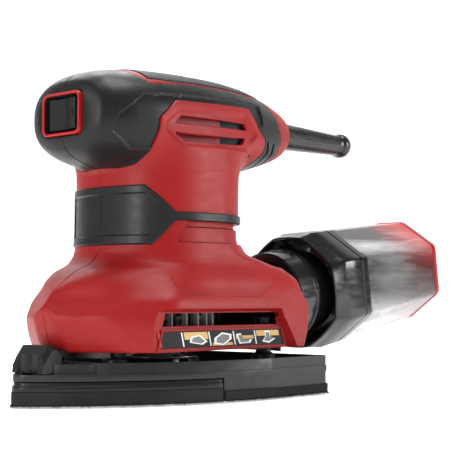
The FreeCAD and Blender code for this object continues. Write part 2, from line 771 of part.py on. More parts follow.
def dust_holes(low, high):
    """The dust holes through the rear pad and the platen."""
    places = [(18, -3), (-18, -3), (30, 14), (-30, 14), (27, 46), (-27, 46), (0, 49)]
    return Part.makeCompound([tube(0, 4.0, low, high, x, y) for x, y in places])


def rear_region(low, high):
    return box((-FAR, FAR), (TIP_SPLIT + TIP_GAP, FAR), (low, high))


def front_region(low, high):
    return box((-FAR, FAR), (-FAR, TIP_SPLIT), (low, high))


def platen():
    """Ribbed tray with a hub for the orbit bearing; its front half is a shelf over the tip plate."""
    shelf = TIP_PLATE_TOP + GAP
    split = TIP_SPLIT + TIP_GAP
    whole = box((-FAR, FAR), (-FAR, FAR), (shelf, PLATEN_TOP))
    whole = whole.fuse(box((-FAR, FAR), (split, FAR), (PLATEN_BOTTOM, PLATEN_TOP)))
    nose = box((-FAR, FAR), (-FAR, NOSE_STEP_Y), (0, FAR))
    wall = pad_slab(1.4, PLATEN_BOTTOM, PLATEN_TOP).cut(nose)
    rim = pad_slab(1.0, shelf, NOSE_SHELF_Z)
    nose_wall = pad_slab(3.6, NOSE_SHELF_Z, PLATEN_TOP - 0.5).common(nose)
    body = together([wall, rim, nose_wall]).common(whole)

    in_front = box((-FAR, FAR), (-FAR, NOSE_STEP_Y + 3), (0, FAR))
    tray = pad_slab(4.2, NOSE_SHELF_Z, PLATEN_TOP + 1).cut(in_front)
    behind = box((-FAR, FAR), (split + 3, FAR), (0, FAR))
    well = pad_slab(4.2, PLATEN_BOTTOM + 3, PLATEN_TOP + 1).common(behind)
    body = body.cut(tray).cut(well)

    low = PLATEN_BOTTOM + 1
    stiffeners = [
        tube(0, 18.4, low, PLATEN_TOP),
        box((-1, 1), (16, 60), (low, 13)),
        box((-44, -16), (9, 11), (low, 13)),
        box((16, 44), (9, 11), (low, 13)),
        box((-2, 2), (-48, -15), (12, 15)),
    ]
    for x, y in posts_at():
        stiffeners.append(tube(0, POST_R + 2.0, low, 16.0, x, y))
    extra = together(stiffeners[:1])
    for part in stiffeners[1:]:
        extra = extra.fuse(part)
    body = body.fuse(extra.common(pad_slab(2.5, PLATEN_BOTTOM, PLATEN_TOP)).common(whole))

    body = body.cut(tube(0, BEARING_PAD[1], PAD_BEARING_Z, FAR, ORBIT))
    body = body.cut(tube(0, 8.0, PAD_BEARING_Z - 1.2, FAR, ORBIT))
    body = body.cut(dust_holes(0, FAR))
    body = body.cut(retainer_rods(0.9, 12.0, FAR))
    for x, y in posts_at():
        body = body.cut(tube(0, POST_R, post_foot(y), FAR, x, y))
    catch_half = LATCH_HALF_W + GAP
    body = body.cut(box((-catch_half, catch_half), (-90, LATCH_BACK_Y + 0.5), (NOSE_SHELF_Z, FAR)))
    body = body.cut(box((-4.3, 4.3), (-75, LATCH_BACK_Y + 0.5), (0, FAR)))
    return body.removeSplitter()


def posts_at():
    """Where the four posts stand, as (X, Y)."""
    return [(side * x, y) for x, y in (FRONT_POST, REAR_POST) for side in (1, -1)]


def post_foot(y):
    """How deep a post sits in the platen."""
    return NOSE_SHELF_Z if y < 0 else PLATEN_BOTTOM + 3


def retainer_rods(radius, low, high):
    """Three upright rods where the retainer's screws sit."""
    rods = []
    for k in range(3):
        a = math.radians(90 + 120 * k)
        x = ORBIT + RETAINER_SCREW_CIRCLE * math.cos(a)
        rods.append(tube(0, radius, low, high, x, RETAINER_SCREW_CIRCLE * math.sin(a)))
    return rods


def bearing_retainer():
    """Ring that keeps the orbit bearing in the platen."""
    ring = tube(11.5, 17.4, PLATEN_TOP, RETAINER_TOP, ORBIT)
    return ring.cut(retainer_rods(1.0, PLATEN_TOP - 1, RETAINER_TOP + 1))


def retainer_screws():
    """Three round-headed screws through the ring into the platen's hub."""
    shanks = retainer_rods(0.9, 12.0, RETAINER_TOP)
    heads = retainer_rods(1.7, RETAINER_TOP, RETAINER_TOP + 0.9)
    return Part.makeCompound([shank.fuse(head) for shank, head in zip(shanks, heads)])


def support_posts():
    """Four rubber posts between the base and the housing, waisted where they flex."""
    posts = []
    for x, y in posts_at():
        stem = tube(0, POST_R, post_foot(y), 35.0, x, y)
        posts.append(stem.cut(tube(POST_R - 0.8, POST_R + 1, 18.5, 24.0, x, y)))
    return Part.makeCompound(posts)


def rear_foam():
    slab = pad_slab(0.6, HOOK_T, PLATEN_BOTTOM).common(rear_region(0, 40))
    return slab.cut(dust_holes(0, 40))


def rear_hook_sheet():
    slab = pad_slab(0.0, 0, HOOK_T).common(rear_region(-1, 40))
    return slab.cut(dust_holes(-1, 40))


def tip_plate():
    """Removable front plate: a foot flange and a rim, with room for the catch's tongue and the bearing."""
    foot = pad_slab(0.6, TIP_PLATE_BOTTOM, TIP_PLATE_BOTTOM + 2.2).common(front_region(0, 40))
    rim = pad_slab(1.2, TIP_PLATE_BOTTOM + 2.2, TIP_PLATE_TOP).common(front_region(0, 40))
    pocket_front = LATCH_TONGUE_Y - LATCH_TRAVEL - 0.4
    pocket = box((-4.4, 4.4), (pocket_front, LATCH_BACK_Y + 0.3), (TIP_PLATE_BOTTOM + 1.2, FAR))
    slot = box((-4.4, 4.4), (LATCH_BACK_Y - 1.0, TIP_SPLIT + 1), (TIP_PLATE_BOTTOM + 1.2, FAR))
    bearing_room = tube(0, BEARING_PAD[1] + 2 * GAP, PAD_BEARING_Z - 2 * GAP, FAR, ORBIT)
    return together([foot, rim]).cut([pocket, slot, bearing_room])


def tip_foam():
    return pad_slab(0.4, HOOK_T, TIP_PLATE_BOTTOM).common(front_region(0, 40))


def tip_hook_sheet():
    return pad_slab(0.0, 0, HOOK_T).common(front_region(-1, 40))


def nose_latch():
    """The finger catch that holds the front plate: a ribbed block on the nose with a tongue below it."""
    side = [
        (-71.5, NOSE_SHELF_Z + GAP), (LATCH_BACK_Y, NOSE_SHELF_Z + GAP), (LATCH_BACK_Y, 22.6),
        (-64.0, LATCH_TOP), (-67.5, LATCH_TOP), (-70.8, 20.0),
    ]
    body = side_prism(side, -LATCH_HALF_W, LATCH_HALF_W)
    corners = [e for e in body.Edges if e.BoundBox.XLength < 0.1 and e.BoundBox.ZMin > 14]
    body = body.makeChamfer(1.8, corners)
    for x in (-3.6, 3.6):
        body = body.cut(Part.makeCylinder(3.0, 9.5, Vector(x, -73.2, 12.0), Vector(0, 0.12, 1)))
    tongue_top = NOSE_SHELF_Z + GAP + 0.1
    tongue = box((-4.0, 4.0), (LATCH_TONGUE_Y, LATCH_BACK_Y - 0.2), (TIP_PLATE_BOTTOM + 1.5, tongue_top))
    return together([body, tongue])


# --- dust canister ----------------------------------------------------------------------------------


def dust_spigot():
    """The outlet tube, held by a flange inside the housing."""
    body = dust_ring(14.6, SPIGOT_R - 0.1, -14, 38.0)
    flange = dust_ring(14.6, 18.6, -14, -11)
    groove = dust_ring(SPIGOT_R - 0.9, SPIGOT_R + 1, 33.0, 35.0)
    return along_dust(together([body, flange]).cut(groove))


def dust_box_cap():
    """Eight-sided cap with the collar that slides over the spigot."""
    shell = can_prism(0, CAP_FROM, CAP_TO, 3.5)
    front_edges = [e for e in shell.Edges if abs(e.BoundBox.ZMax - CAP_FROM) < 0.01]
    shell = shell.makeFillet(2.0, front_edges)
    shell = shell.cut(can_prism(CAN_WALL + 0.4, CAP_FROM + 2.4, CAP_TO + 1))
    collar = dust_ring(SPIGOT_R + GAP, SPIGOT_R + 3.6, 24.0, CAP_FROM + 3.0)
    stop = dust_ring(14.6, SPIGOT_R + 3.6, CAP_FROM + 1.0, CAP_FROM + 3.0)
    body = together([shell.cut(tube(0, SPIGOT_R + 1.0, 0, CAP_TO)), collar, stop])
    return along_dust(body)


def collar_seal():
    """Lip ring in the collar."""
    return along_dust(dust_ring(SPIGOT_R - 0.02, SPIGOT_R + GAP, 27.0, 30.0))


def filter_frame():
    """The plate that carries the filter, pressed into the cap."""
    plate = can_prism(CAN_WALL + 0.4, 50.0, 52.0)
    plate = plate.cut(tube(0, 13.0, 40, 60))
    return along_dust(plate)


def pleated_filter():
    """Pleated filter sleeve behind the plate, with an end disc."""
    pleats = 28
    points = []
    for k in range(pleats):
        for r, half in ((19.0, 0), (14.6, 0.5)):
            a = 2 * math.pi * (k + half) / pleats
            points.append(Vector(r * math.cos(a), r * math.sin(a), 52.0))
    sleeve = Part.Face(Part.makePolygon(points + points[:1])).extrude(Vector(0, 0, 46.0))
    sleeve = sleeve.cut(tube(0, 13.0, 40, 110))
    disc = tube(0, 19.4, 98.0, 100.0)
    return along_dust(Part.makeCompound([sleeve, disc]))


def canister():
    """Clear eight-sided bin, closed at its rear, with a neck that plugs into the cap."""
    outer = can_prism(0.2, CAP_TO + 2.5, END_CAP_FROM)
    rear = can_prism(2.2, END_CAP_FROM, CAN_TO - 1.8)
    lip = can_prism(0.0, CAP_TO + 0.4, CAP_TO + 2.5)
    neck = can_prism(CAN_WALL + 0.4 + GAP, 54.0, CAP_TO + 0.4)
    inner = can_prism(CAN_WALL + 2.4, 50.0, CAN_TO - 4.0)
    return along_dust(together([outer, rear, lip, neck]).cut(inner))


def end_cap():
    """Coloured cap over the canister's rear end."""
    shell = can_prism(0.0, END_CAP_FROM, CAN_TO, 3.0)
    rear_edges = [e for e in shell.Edges if abs(e.BoundBox.ZMin - CAN_TO) < 0.01]
    shell = shell.makeFillet(2.4, rear_edges)
    return along_dust(shell.cut(can_prism(2.2, END_CAP_FROM - 1, CAN_TO - 1.8)))


# --- write ------------------------------------------------------------------------------------------


def main():
    os.makedirs("parts", exist_ok=True)
    for name, shape in housing_parts().items():
        save(name, shape)
    upper_outer, upper_inner = bearing(BEARING_SMALL, UPPER_BEARING_Z)
    lower_outer, lower_inner = bearing(BEARING_LARGE, LOWER_BEARING_Z)
    pad_outer, pad_inner = bearing(BEARING_PAD, PAD_BEARING_Z, ORBIT)
    nodes = {
        "housing_screws": housing_screws(),
        "switch_bezel": switch_bezel(),
        "switch_body": switch_body(),
        "rocker_button": rocker_button(),
        "cord_guard": cord_guard(),
        "cord_clamp": cord_clamp(),
        "cord_clamp_base": clamp_base(),
        "cord_clamp_screws": clamp_screws(),
        "armature_shaft": armature_shaft(),
        "armature_core": armature_core(),
        "armature_windings": armature_windings(),
        "commutator": commutator(),
        "fan": fan(),
        "eccentric_hub": eccentric(),
        "upper_bearing_outer": upper_outer,
        "upper_bearing_inner": upper_inner,
        "lower_bearing_outer": lower_outer,
        "lower_bearing_inner": lower_inner,
        "pad_bearing_outer": pad_outer,
        "pad_bearing_inner": pad_inner,
        "stator_core": stator_core(),
        "field_coils": field_coils(),
        "motor_bracket": motor_bracket(),
        "motor_pillars": bracket_columns(),
        "fan_guard": fan_guard(),
        "upper_bearing_boot": upper_bearing_boot(),
        "bearing_saddle": bearing_saddle(),
        "brush_holders": brush_holders(),
        "carbon_brushes": carbon_brushes(),
        "brush_springs": brush_springs(),
        "suppressor": suppressor(),
        "platen": platen(),
        "bearing_retainer": bearing_retainer(),
        "support_posts": support_posts(),
        "retainer_screws": retainer_screws(),
        "rear_foam": rear_foam(),
        "rear_hook_sheet": rear_hook_sheet(),
        "tip_plate": tip_plate(),
        "tip_foam": tip_foam(),
        "tip_hook_sheet": tip_hook_sheet(),
        "nose_latch": nose_latch(),
        "dust_spigot": dust_spigot(),
        "dust_box_cap": dust_box_cap(),
        "collar_seal": collar_seal(),
        "filter_frame": filter_frame(),
        "pleated_filter": pleated_filter(),
        "canister": canister(),
        "end_cap": end_cap(),
    }
    for name, shape in nodes.items():
        save(name, shape)


main()
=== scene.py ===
"""The looks of the detail sander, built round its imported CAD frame.

Shapes are worked out in millimetres in the frame's own axes (the nose points to -Y, up is +Z, and the
sanding face is Z = 0) and become metres when a mesh is made. The housing, grips, pad and bands are cut
from one smooth outer surface, so that their seams always match.
"""

import math

import bmesh
import bpy
import numpy as np
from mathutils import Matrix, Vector
from mathutils.geometry import tessellate_polygon


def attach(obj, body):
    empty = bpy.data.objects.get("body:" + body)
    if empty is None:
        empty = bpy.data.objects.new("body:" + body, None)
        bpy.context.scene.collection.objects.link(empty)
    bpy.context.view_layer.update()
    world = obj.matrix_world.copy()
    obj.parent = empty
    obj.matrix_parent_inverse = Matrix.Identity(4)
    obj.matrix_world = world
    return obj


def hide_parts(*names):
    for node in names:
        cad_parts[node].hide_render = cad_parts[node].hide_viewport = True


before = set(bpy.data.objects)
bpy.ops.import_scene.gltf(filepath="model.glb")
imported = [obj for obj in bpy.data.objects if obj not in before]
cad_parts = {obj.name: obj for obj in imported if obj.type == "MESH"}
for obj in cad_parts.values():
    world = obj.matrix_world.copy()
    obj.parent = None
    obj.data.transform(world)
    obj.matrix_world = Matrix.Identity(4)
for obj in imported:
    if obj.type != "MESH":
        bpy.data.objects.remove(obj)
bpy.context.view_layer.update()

MM = 0.001

# --- driving dimensions, in millimetres ---

GRID = 0.9  # spacing of the outer surface's mesh
WALL = 2.2
RECESS_WALL = 0.7
RUBBER = 1.6
BAND_PROUD = 0.9

# the column: height, half width, front reach, rear reach, rear corner radius, squareness of the nose,
# and where along Y the nose curve meets the straight side
COLUMN = np.array([
    (21.5, 40.5, 58.0, 56.0, 6.0, 2.5, 6.0),
    (26.0, 42.0, 60.6, 58.5, 6.0, 2.35, 6.0),
    (34.0, 43.0, 63.2, 60.0, 6.0, 2.15, 6.0),
    (39.5, 43.0, 64.0, 60.3, 6.5, 2.0, 6.0),
    (45.0, 41.4, 59.5, 60.2, 8.5, 2.05, 5.0),
    (50.0, 39.2, 53.0, 59.6, 11.0, 2.2, 4.0),
    (54.0, 36.8, 46.8, 58.0, 16.0, 2.3, 2.0),
    (58.0, 34.8, 38.0, 51.0, 23.0, 2.35, 1.0),
    (63.0, 33.6, 34.2, 37.8, 27.0, 2.4, 0.0),
    (70.0, 33.2, 33.2, 34.6, 28.5, 2.4, 0.0),
    (85.0, 33.2, 33.0, 34.4, 28.5, 2.4, 0.0),
    (98.0, 33.2, 33.4, 34.8, 28.5, 2.4, 0.0),
    (110.0, 31.0, 34.0, 34.4, 27.0, 2.3, 0.0),
])
# the handle: place along Y, half width, top, bottom, squareness
HANDLE = np.array([
    (-54.5, 17.0, 129.4, 106.0, 2.6),
    (-52.0, 21.2, 132.4, 103.0, 2.45),
    (-47.0, 25.4, 135.6, 100.2, 2.35),
    (-38.0, 29.0, 138.2, 97.6, 2.25),
    (-22.0, 31.4, 140.2, 95.6, 2.25),
    (0.0, 31.4, 141.4, 94.6, 2.25),
    (22.0, 29.2, 141.8, 96.2, 2.25),
    (40.0, 25.6, 141.0, 99.6, 2.25),
    (54.0, 22.0, 139.0, 103.2, 2.2),
    (66.0, 18.4, 136.2, 106.6, 2.2),
    (75.0, 14.8, 133.4, 109.8, 2.15),
    (81.0, 10.6, 130.4, 114.0, 2.1),
])

# the skirt's facets: the cheek's slant and reach in plan, the brow's direction and reach, and the heights
# between which the facets give way to the round neck
CHEEK_SLOPE = 0.6
CHEEK_REACH = 3.8
BROW_WAY = np.array([0.416, -0.713, 0.564])
BROW_REACH = 67.9
FACETS_TO = 42.0
ROUND_FROM = 55.0
# planes of the skirt's rear, each as two parts of its direction and its reach: for the corner's two facets
# the parts are out along the corner and up, and for the side they are across and back
UPPER_CORNER = (0.796, 0.605, 79.5)
LOWER_CORNER = (0.964, -0.267, 58.5)
TURNED_SIDE = (0.985, 0.172, 48.2)

# --- the outer form as a signed distance ---


def between(table, place):
    """Rows of a section table at many places, by monotone cubic curves through its columns."""
    places, values = table[:, 0], table[:, 1:]
    slopes = np.diff(values, axis=0) / np.diff(places)[:, None]
    before, after = slopes[:-1], slopes[1:]
    same_way = before * after > 0
    total = np.where(same_way, before + after, 1.0)
    middle = np.where(same_way, 2 * before * after / total, 0.0)
    tangents = np.vstack([slopes[:1], middle, slopes[-1:]])
    place = np.clip(place, places[0], places[-1])
    i = np.clip(np.searchsorted(places, place, side="right") - 1, 0, len(places) - 2)
    gap = (places[i + 1] - places[i])[:, None]
    u = (place[:, None] - places[i][:, None]) / gap
    return (
        (1 + 2 * u) * (1 - u) ** 2 * values[i]
        + u * (1 - u) ** 2 * gap * tangents[i]
        + u * u * (3 - 2 * u) * values[i + 1]
        - u * u * (1 - u) * gap * tangents[i + 1]
    ).T


def superellipse(u, v, a, b, n):
    """First-order distance to the curve |u/a|^n + |v/b|^n = 1."""
    u, v = np.abs(u) / a, np.abs(v) / b
    q = np.maximum((u**n + v**n) ** (1 / n), 1e-6)
    slope = np.hypot((u / q) ** (n - 1) / a, (v / q) ** (n - 1) / b)
    return (q - 1) / np.maximum(slope, 1e-6)


def smooth_step(x):
    """From 0 to 1 as x goes from 0 to 1, level at both ends."""
    x = np.clip(x, 0, 1)
    return x * x * (3 - 2 * x)


def smooth_min(a, b, k):
    """The smaller of two fields, blended where they are within k of each other."""
    h = np.maximum(k - np.abs(a - b), 0) / k
    return np.minimum(a, b) - h * h * k / 4


def smooth_max(a, b, k):
    return -smooth_min(-a, -b, k)


def faceted_nose(x, y, half_width, front, squareness, start):
    """The skirt's nose in plan: a blunt front, a slanted cheek and a broad facet that faces outward."""
    dual = squareness / (squareness - 1)
    reach = (half_width**dual + (front + start) ** dual) ** (1 / dual) - start
    blunt = -y - front
    cheek = (CHEEK_SLOPE * x - y - front - CHEEK_REACH) / math.hypot(CHEEK_SLOPE, 1)
    facet = (x - y - reach) / math.sqrt(2)
    return smooth_max(smooth_max(smooth_max(blunt, cheek, 1.0), facet, 0.8), x - half_width, 4.0)


def plane_distance(u, v, plane):
    """How far a point is past a plane, from its places along the plane's two directions."""
    return plane[0] * u + plane[1] * v - plane[2]


def faceted_tail(x, y, z, half_width, rear):
    """The skirt's rear: flat back, a side that turns in a little, and two facets down each corner."""
    out = (x + y) / math.sqrt(2)
    corner = smooth_max(plane_distance(out, z, UPPER_CORNER), plane_distance(out, z, LOWER_CORNER), 0.6)
    side = smooth_max(x - half_width, plane_distance(x, y, TURNED_SIDE), 1.0)
    return smooth_max(smooth_max(side, y - rear, 2.0), corner, 0.6)


def column_distance(p):
    """Distance to the skirt and neck: faceted below FACETS_TO, round above ROUND_FROM."""
    x, y, z = np.abs(p[:, 0]), p[:, 1], p[:, 2]
    half_width, front, rear, corner, squareness, start = between(COLUMN, z)
    round_nose = superellipse(x, y - start, half_width, front + start, squareness)
    facets = faceted_nose(x, y, half_width, front, squareness, start)
    brow = BROW_WAY[0] * x + BROW_WAY[1] * y + BROW_WAY[2] * z - BROW_REACH
    facets = smooth_max(facets, brow, 0.8)
    share = smooth_step((z - FACETS_TO) / (ROUND_FROM - FACETS_TO))
    nose = facets * (1 - share) + round_nose * share
    dx, dy = x - (half_width - corner), y - (rear - corner)
    outside, inside = np.hypot(np.maximum(dx, 0), np.maximum(dy, 0)), np.minimum(np.maximum(dx, dy), 0)
    round_tail = outside + inside - corner
    tail = faceted_tail(x, y, z, half_width, rear) * (1 - share) + round_tail * share
    body = np.where(y < start, nose, tail)
    return smooth_max(body, z - 108.0, 4.0)


def handle_distance(p):
    half_width, top, bottom, squareness = between(HANDLE, p[:, 1])
    centre, half_height = (top + bottom) / 2, (top - bottom) / 2
    section = superellipse(p[:, 0], p[:, 2] - centre, half_width, half_height, squareness)
    front, rear = HANDLE[0, 0], HANDLE[-1, 0]
    ends = np.maximum(front - p[:, 1], p[:, 1] - rear)
    return smooth_max(section, ends, 3.0)


def outer_distance(p):
    column, handle = column_distance(p), handle_distance(p)
    # a crisp crease under the front bulb, and a soft blend behind it
    return smooth_min(column, handle, 2.0 + 8.0 * smooth_step((p[:, 1] + 36) / 22))


def gradient(distance, p, h=0.02):
    g = np.empty_like(p)
    for axis in range(3):
        step = np.zeros(3)
        step[axis] = h
        g[:, axis] = (distance(p + step) - distance(p - step)) / (2 * h)
    return g


def project(distance, p, rounds=3):
    """Points moved onto the surface."""
    for _ in range(rounds):
        g = gradient(distance, p)
        length = np.maximum((g * g).sum(1), 1e-6)
        p = p - g * np.clip(distance(p) / length, -2, 2)[:, None]
    return p


# --- the surface mesh ---


def surface_mesh(distance, low, high, step):
    """Points and triangles of the zero surface inside a box, by surface nets."""
    axes = [np.arange(a, b + step, step) for a, b in zip(low, high)]
    shape = tuple(len(a) for a in axes)
    grid = np.stack(np.meshgrid(*axes, indexing="ij"), -1)
    values = np.concatenate([distance(slab.reshape(-1, 3)) for slab in grid]).reshape(shape)
    cells = tuple(n - 1 for n in shape)
    total, count = np.zeros(cells + (3,)), np.zeros(cells)
    edges = []
    for axis in range(3):
        cut = [slice(None)] * 3
        cut[axis] = slice(None, -1)
        start = values[tuple(cut)]
        cut[axis] = slice(1, None)
        end = values[tuple(cut)]
        crossing = np.argwhere((start < 0) != (end < 0))
        a, b = start[tuple(crossing.T)], end[tuple(crossing.T)]
        point = np.stack([axes[k][crossing[:, k]] for k in range(3)], 1)
        point[:, axis] += step * a / (a - b)
        other = [k for k in range(3) if k != axis]
        around = []
        for i, j in ((1, 1), (0, 1), (0, 0), (1, 0)):
            cell = crossing.copy()
            cell[:, other[0]] -= i
            cell[:, other[1]] -= j
            inside = np.all((cell >= 0) & (cell < np.array(cells)), axis=1)
            np.add.at(total, tuple(cell[inside].T), point[inside])
            np.add.at(count, tuple(cell[inside].T), 1)
            around.append(np.where(inside[:, None], cell, -1))
        edges.append((axis, np.stack(around, 1), a < b))
    used = count > 0
    index = np.full(cells, -1)
    index[used] = np.arange(used.sum())
    points = total[used] / count[used][:, None]
    quads = []
    for axis, around, outward in edges:
        whole = np.all(around >= 0, axis=(1, 2))
        corner = index[tuple(around[whole].transpose(2, 0, 1))]
        flip = outward[whole] == (axis == 1)
        corner[flip] = corner[flip][:, ::-1]
        quads.append(corner)
    quads = np.concatenate(quads)
    for _ in range(4):
        points = project(distance, relaxed(points, quads), 1)
    points = project(distance, points, 3)
    diagonal = np.linalg.norm(points[quads[:, 0]] - points[quads[:, 2]], axis=1)
    other = np.linalg.norm(points[quads[:, 1]] - points[quads[:, 3]], axis=1)
    quads = np.where((diagonal <= other)[:, None], quads, np.roll(quads, -1, axis=1))
    return points, np.concatenate([quads[:, [0, 1, 2]], quads[:, [0, 2, 3]]])


def relaxed(points, quads):
    """Every point moved half way to the mean of its neighbours."""
    total, count = np.zeros_like(points), np.zeros(len(points))
    for i in range(4):
        a, b = quads[:, i], quads[:, (i + 1) % 4]
        for start, end in ((a, b), (b, a)):
            np.add.at(total, start, points[end])
            np.add.at(count, start, 1)
    return (points + total / np.maximum(count, 1)[:, None]) / 2


def edges_of(triangles):
    """The three edges of every triangle, as pairs of point numbers."""
    return np.concatenate([triangles[:, [0, 1]], triangles[:, [1, 2]], triangles[:, [2, 0]]])


# a crossing this near to an end of its edge moves that end and doesn't split the edge
SNAP_START, SNAP_END = 0.18, 0.82


def cut_along(mesh, field, distance):
    """The mesh with every triangle that crosses field = 0 split along it. Points near it move onto it."""
    points, triangles = mesh
    values = field(points)
    if not ((values < 0).any() and (values > 0).any()):
        return mesh
    a, b = np.unique(np.sort(edges_of(triangles), axis=1), axis=0).T
    crossing = values[a] * values[b] < 0
    a, b = a[crossing], b[crossing]
    t = edge_crossing(points, values, a, b, field)
    where = points[a] + (points[b] - points[a]) * t[:, None]
    points = points.copy()
    at_start, at_end = t < SNAP_START, t > SNAP_END
    for end, close in ((a, at_start), (b, at_end)):
        points[end[close]] = where[close]
        values[end[close]] = 0
    moved = np.unique(np.concatenate([a[at_start], b[at_end]]))
    points[moved] = project(distance, points[moved], 1)
    live = values[a] * values[b] < 0
    a, b = a[live], b[live]
    t = edge_crossing(points, values, a, b, field)
    new_points = project(distance, points[a] + (points[b] - points[a]) * t[:, None], 1)
    number = {(i, j): len(points) + k for k, (i, j) in enumerate(zip(a.tolist(), b.tolist()))}
    points = np.concatenate([points, new_points])
    values = np.concatenate([values, np.zeros(len(new_points))])
    sides = np.sign(values[triangles])
    crossed = (sides.min(1) < 0) & (sides.max(1) > 0)
    kept = [triangles[~crossed]]
    split = []
    for tri, side in zip(triangles[crossed].tolist(), sides[crossed].tolist()):
        if 0 in side:
            k = side.index(0)
            i, j, m = tri[k], tri[(k + 1) % 3], tri[(k + 2) % 3]
            cut = number[(min(j, m), max(j, m))]
            split += [(i, j, cut), (i, cut, m)]
            continue
        # the corner that is alone on its side of the line
        k = next(k for k in range(3) if side[k] != side[k - 1] and side[k] != side[k - 2])
        i, j, m = tri[k], tri[(k + 1) % 3], tri[(k + 2) % 3]
        p, q = number[(min(i, j), max(i, j))], number[(min(i, m), max(i, m))]
        split += [(i, p, q), (p, j, m), (p, m, q)]
    kept.append(np.array(split, int).reshape(-1, 3))
    return points, np.concatenate(kept)


def edge_crossing(points, values, a, b, field):
    """How far along each edge the field is zero, by the secant rule with one more step."""
    low, high = values[a], values[b]
    t = low / (low - high)
    middle = field(points[a] + (points[b] - points[a]) * t[:, None])
    same = np.sign(middle) == np.sign(low)
    better = np.where(
        same,
        t + (1 - t) * middle / np.where(middle == high, 1, middle - high),
        t * low / np.where(low == middle, 1, low - middle),
    )
    return np.clip(np.where(np.abs(middle) < 1e-6, t, better), 0.02, 0.98)


# --- outlines drawn on the surface, as (Y, Z) from the side or (X, Y) from above ---

GRIP = [
    (-70, 96.8), (-33, 96.8), (-30.5, 98.2), (-28.6, 103), (-28.1, 112.5), (-28.1, 116.8), (-19, 125.1),
    (32, 128.1), (38.3, 121.2), (42, 118.5), (47.4, 115.4), (49.2, 110.7), (45.5, 106.4), (40, 101.5),
    (37, 96), (37, 90), (60, 90), (64.6, 110), (64.6, 117.2), (61.9, 124), (55.5, 132.5), (50, 150),
    (-70, 150),
]
GRIP_STEP = [
    (-38.1, 103.2), (-48.1, 109.3), (-47.2, 116.9), (-35.4, 126.6), (-15.4, 128.1), (19.2, 130.6),
    (43.7, 131.4), (44, 121), (0, 110), (-24, 104.6), (-29, 104.4),
]
STRAP_GROOVES = [
    [(50.5, 114.5), (53.6, 110.5), (52.6, 106), (49.5, 102.0)],
    [(57.0, 114.5), (60.0, 110.0), (58.8, 105.5), (55.5, 101.0)],
]
BAND = [
    (-60, 65.0), (-26.5, 65.0), (-18.5, 75.0), (60, 75.4), (60, 79.2), (-18.5, 78.8), (-28.1, 89.8),
    (-60, 88.8),
]
BAND_PANEL = [(-60, 69.2), (-26.9, 68.5), (-25.3, 71.0), (-25.1, 83.4), (-27.4, 86.7), (-60, 86.0)]
VENT_MOUTH = [
    (-25.4, 115.8), (-17.2, 121.8), (28.3, 124.9), (39.2, 116.6), (31.9, 107.9), (-16.3, 105.7),
    (-25.4, 111.7),
]
VENTS = [
    [(-19.0, 115.8), (-15.4, 119.1), (29.2, 120.8), (31.2, 117.8)],
    [(-19.8, 111.6), (30.2, 114.1), (28.3, 110.8), (-14.5, 108.4)],
]
LEDGES = [
    [(-19.0, 64.5), (-17.7, 65.9), (70, 66.6), (70, 77), (-12, 77)],
    [(-15.5, 70.4), (-13.6, 72.3), (70, 72.8), (70, 77), (-11, 77)],
]
SKIRT_PANEL = [(-27.2, 47.2), (-21, 43.7), (22.6, 43.7), (35.1, 51.7), (38, 62), (-24, 62)]
OUTLET = [(-35.0, 31.6), (37.4, 31.6), (35.6, 37.0), (-33.8, 37.0)]
LABEL = [(-36.2, 23.0), (42.2, 23.0), (38.6, 29.6), (-34.6, 29.6)]
SKIRT_EDGE = [(-90, 0), (-90, 25.8), (-62.5, 25.2), (-57.5, 21.4), (90, 21.4), (90, 0)]
TOP_PAD = [(0, -29), (12, -28.2), (23.0, -28.6), (24, -19), (23, 8), (21, 28), (18.6, 41), (12, 55), (0, 59)]
TOP_STRIPE = [
    (0, -36.5), (12.5, -34.2), (20.5, -32.4), (25.6, -29.5), (25.7, -23), (24.4, -8), (23.7, 8), (21.7, 28),
    (19.4, 41.4), (12.8, 56), (0, 60.5),
]
# creases of the skirt, as points in space with the height and width of each
NOSE_CREASE = [(0, -63.9, 38.4), (8.9, -62.4, 37), (16.6, -58.8, 32.6), (22, -53.4, 24.2), (23.5, -51, 19)]
FLANK_CREASE = [(34.5, -27.5, 47.8), (34, 0, 51.5), (32, 48, 55.9)]

SWITCH_Z = 118.1
GUARD_Z = 123.5
DUST_START = np.array([0.0, 60.0, 41.0])
DUST_TILT = math.radians(8.0)
SPIGOT_HOLE = 17.1


def outline_distance(u, v, outline, closed=True):
    """Signed distance to a closed outline (negative inside), or distance to an open line."""
    points = np.array(outline, float)
    pairs = list(zip(points, np.roll(points, -1, axis=0)))
    if not closed:
        pairs = pairs[:-1]
    best, inside = np.full(len(u), 1e9), np.zeros(len(u), bool)
    for (u0, v0), (u1, v1) in pairs:
        du, dv = u1 - u0, v1 - v0
        t = np.clip(((u - u0) * du + (v - v0) * dv) / (du * du + dv * dv), 0, 1)
        best = np.minimum(best, np.hypot(u - u0 - t * du, v - v0 - t * dv))
        if closed and dv:
            inside ^= ((v0 > v) != (v1 > v)) & (u < u0 + (v - v0) * du / dv)
    return np.where(inside, -best, best)


FAR = 50.0  # what a field says where it doesn't apply


def side_view(outline, closed=True):
    """Distance to an outline seen from the side."""
    return lambda p: outline_distance(p[:, 1], p[:, 2], outline, closed)


def top_view(half):
    """Distance to a mirrored plan outline, far away for anything below the handle's top."""
    whole = half + [(-x, y) for x, y in reversed(half[1:-1])]
    return lambda p: np.where(p[:, 2] > 124, outline_distance(p[:, 0], p[:, 1], whole), FAR)


def rounded_box(u, v, half_u, half_v, radius):
    du, dv = np.abs(u) - half_u + radius, np.abs(v) - half_v + radius
    return np.hypot(np.maximum(du, 0), np.maximum(dv, 0)) + np.minimum(np.maximum(du, dv), 0) - radius


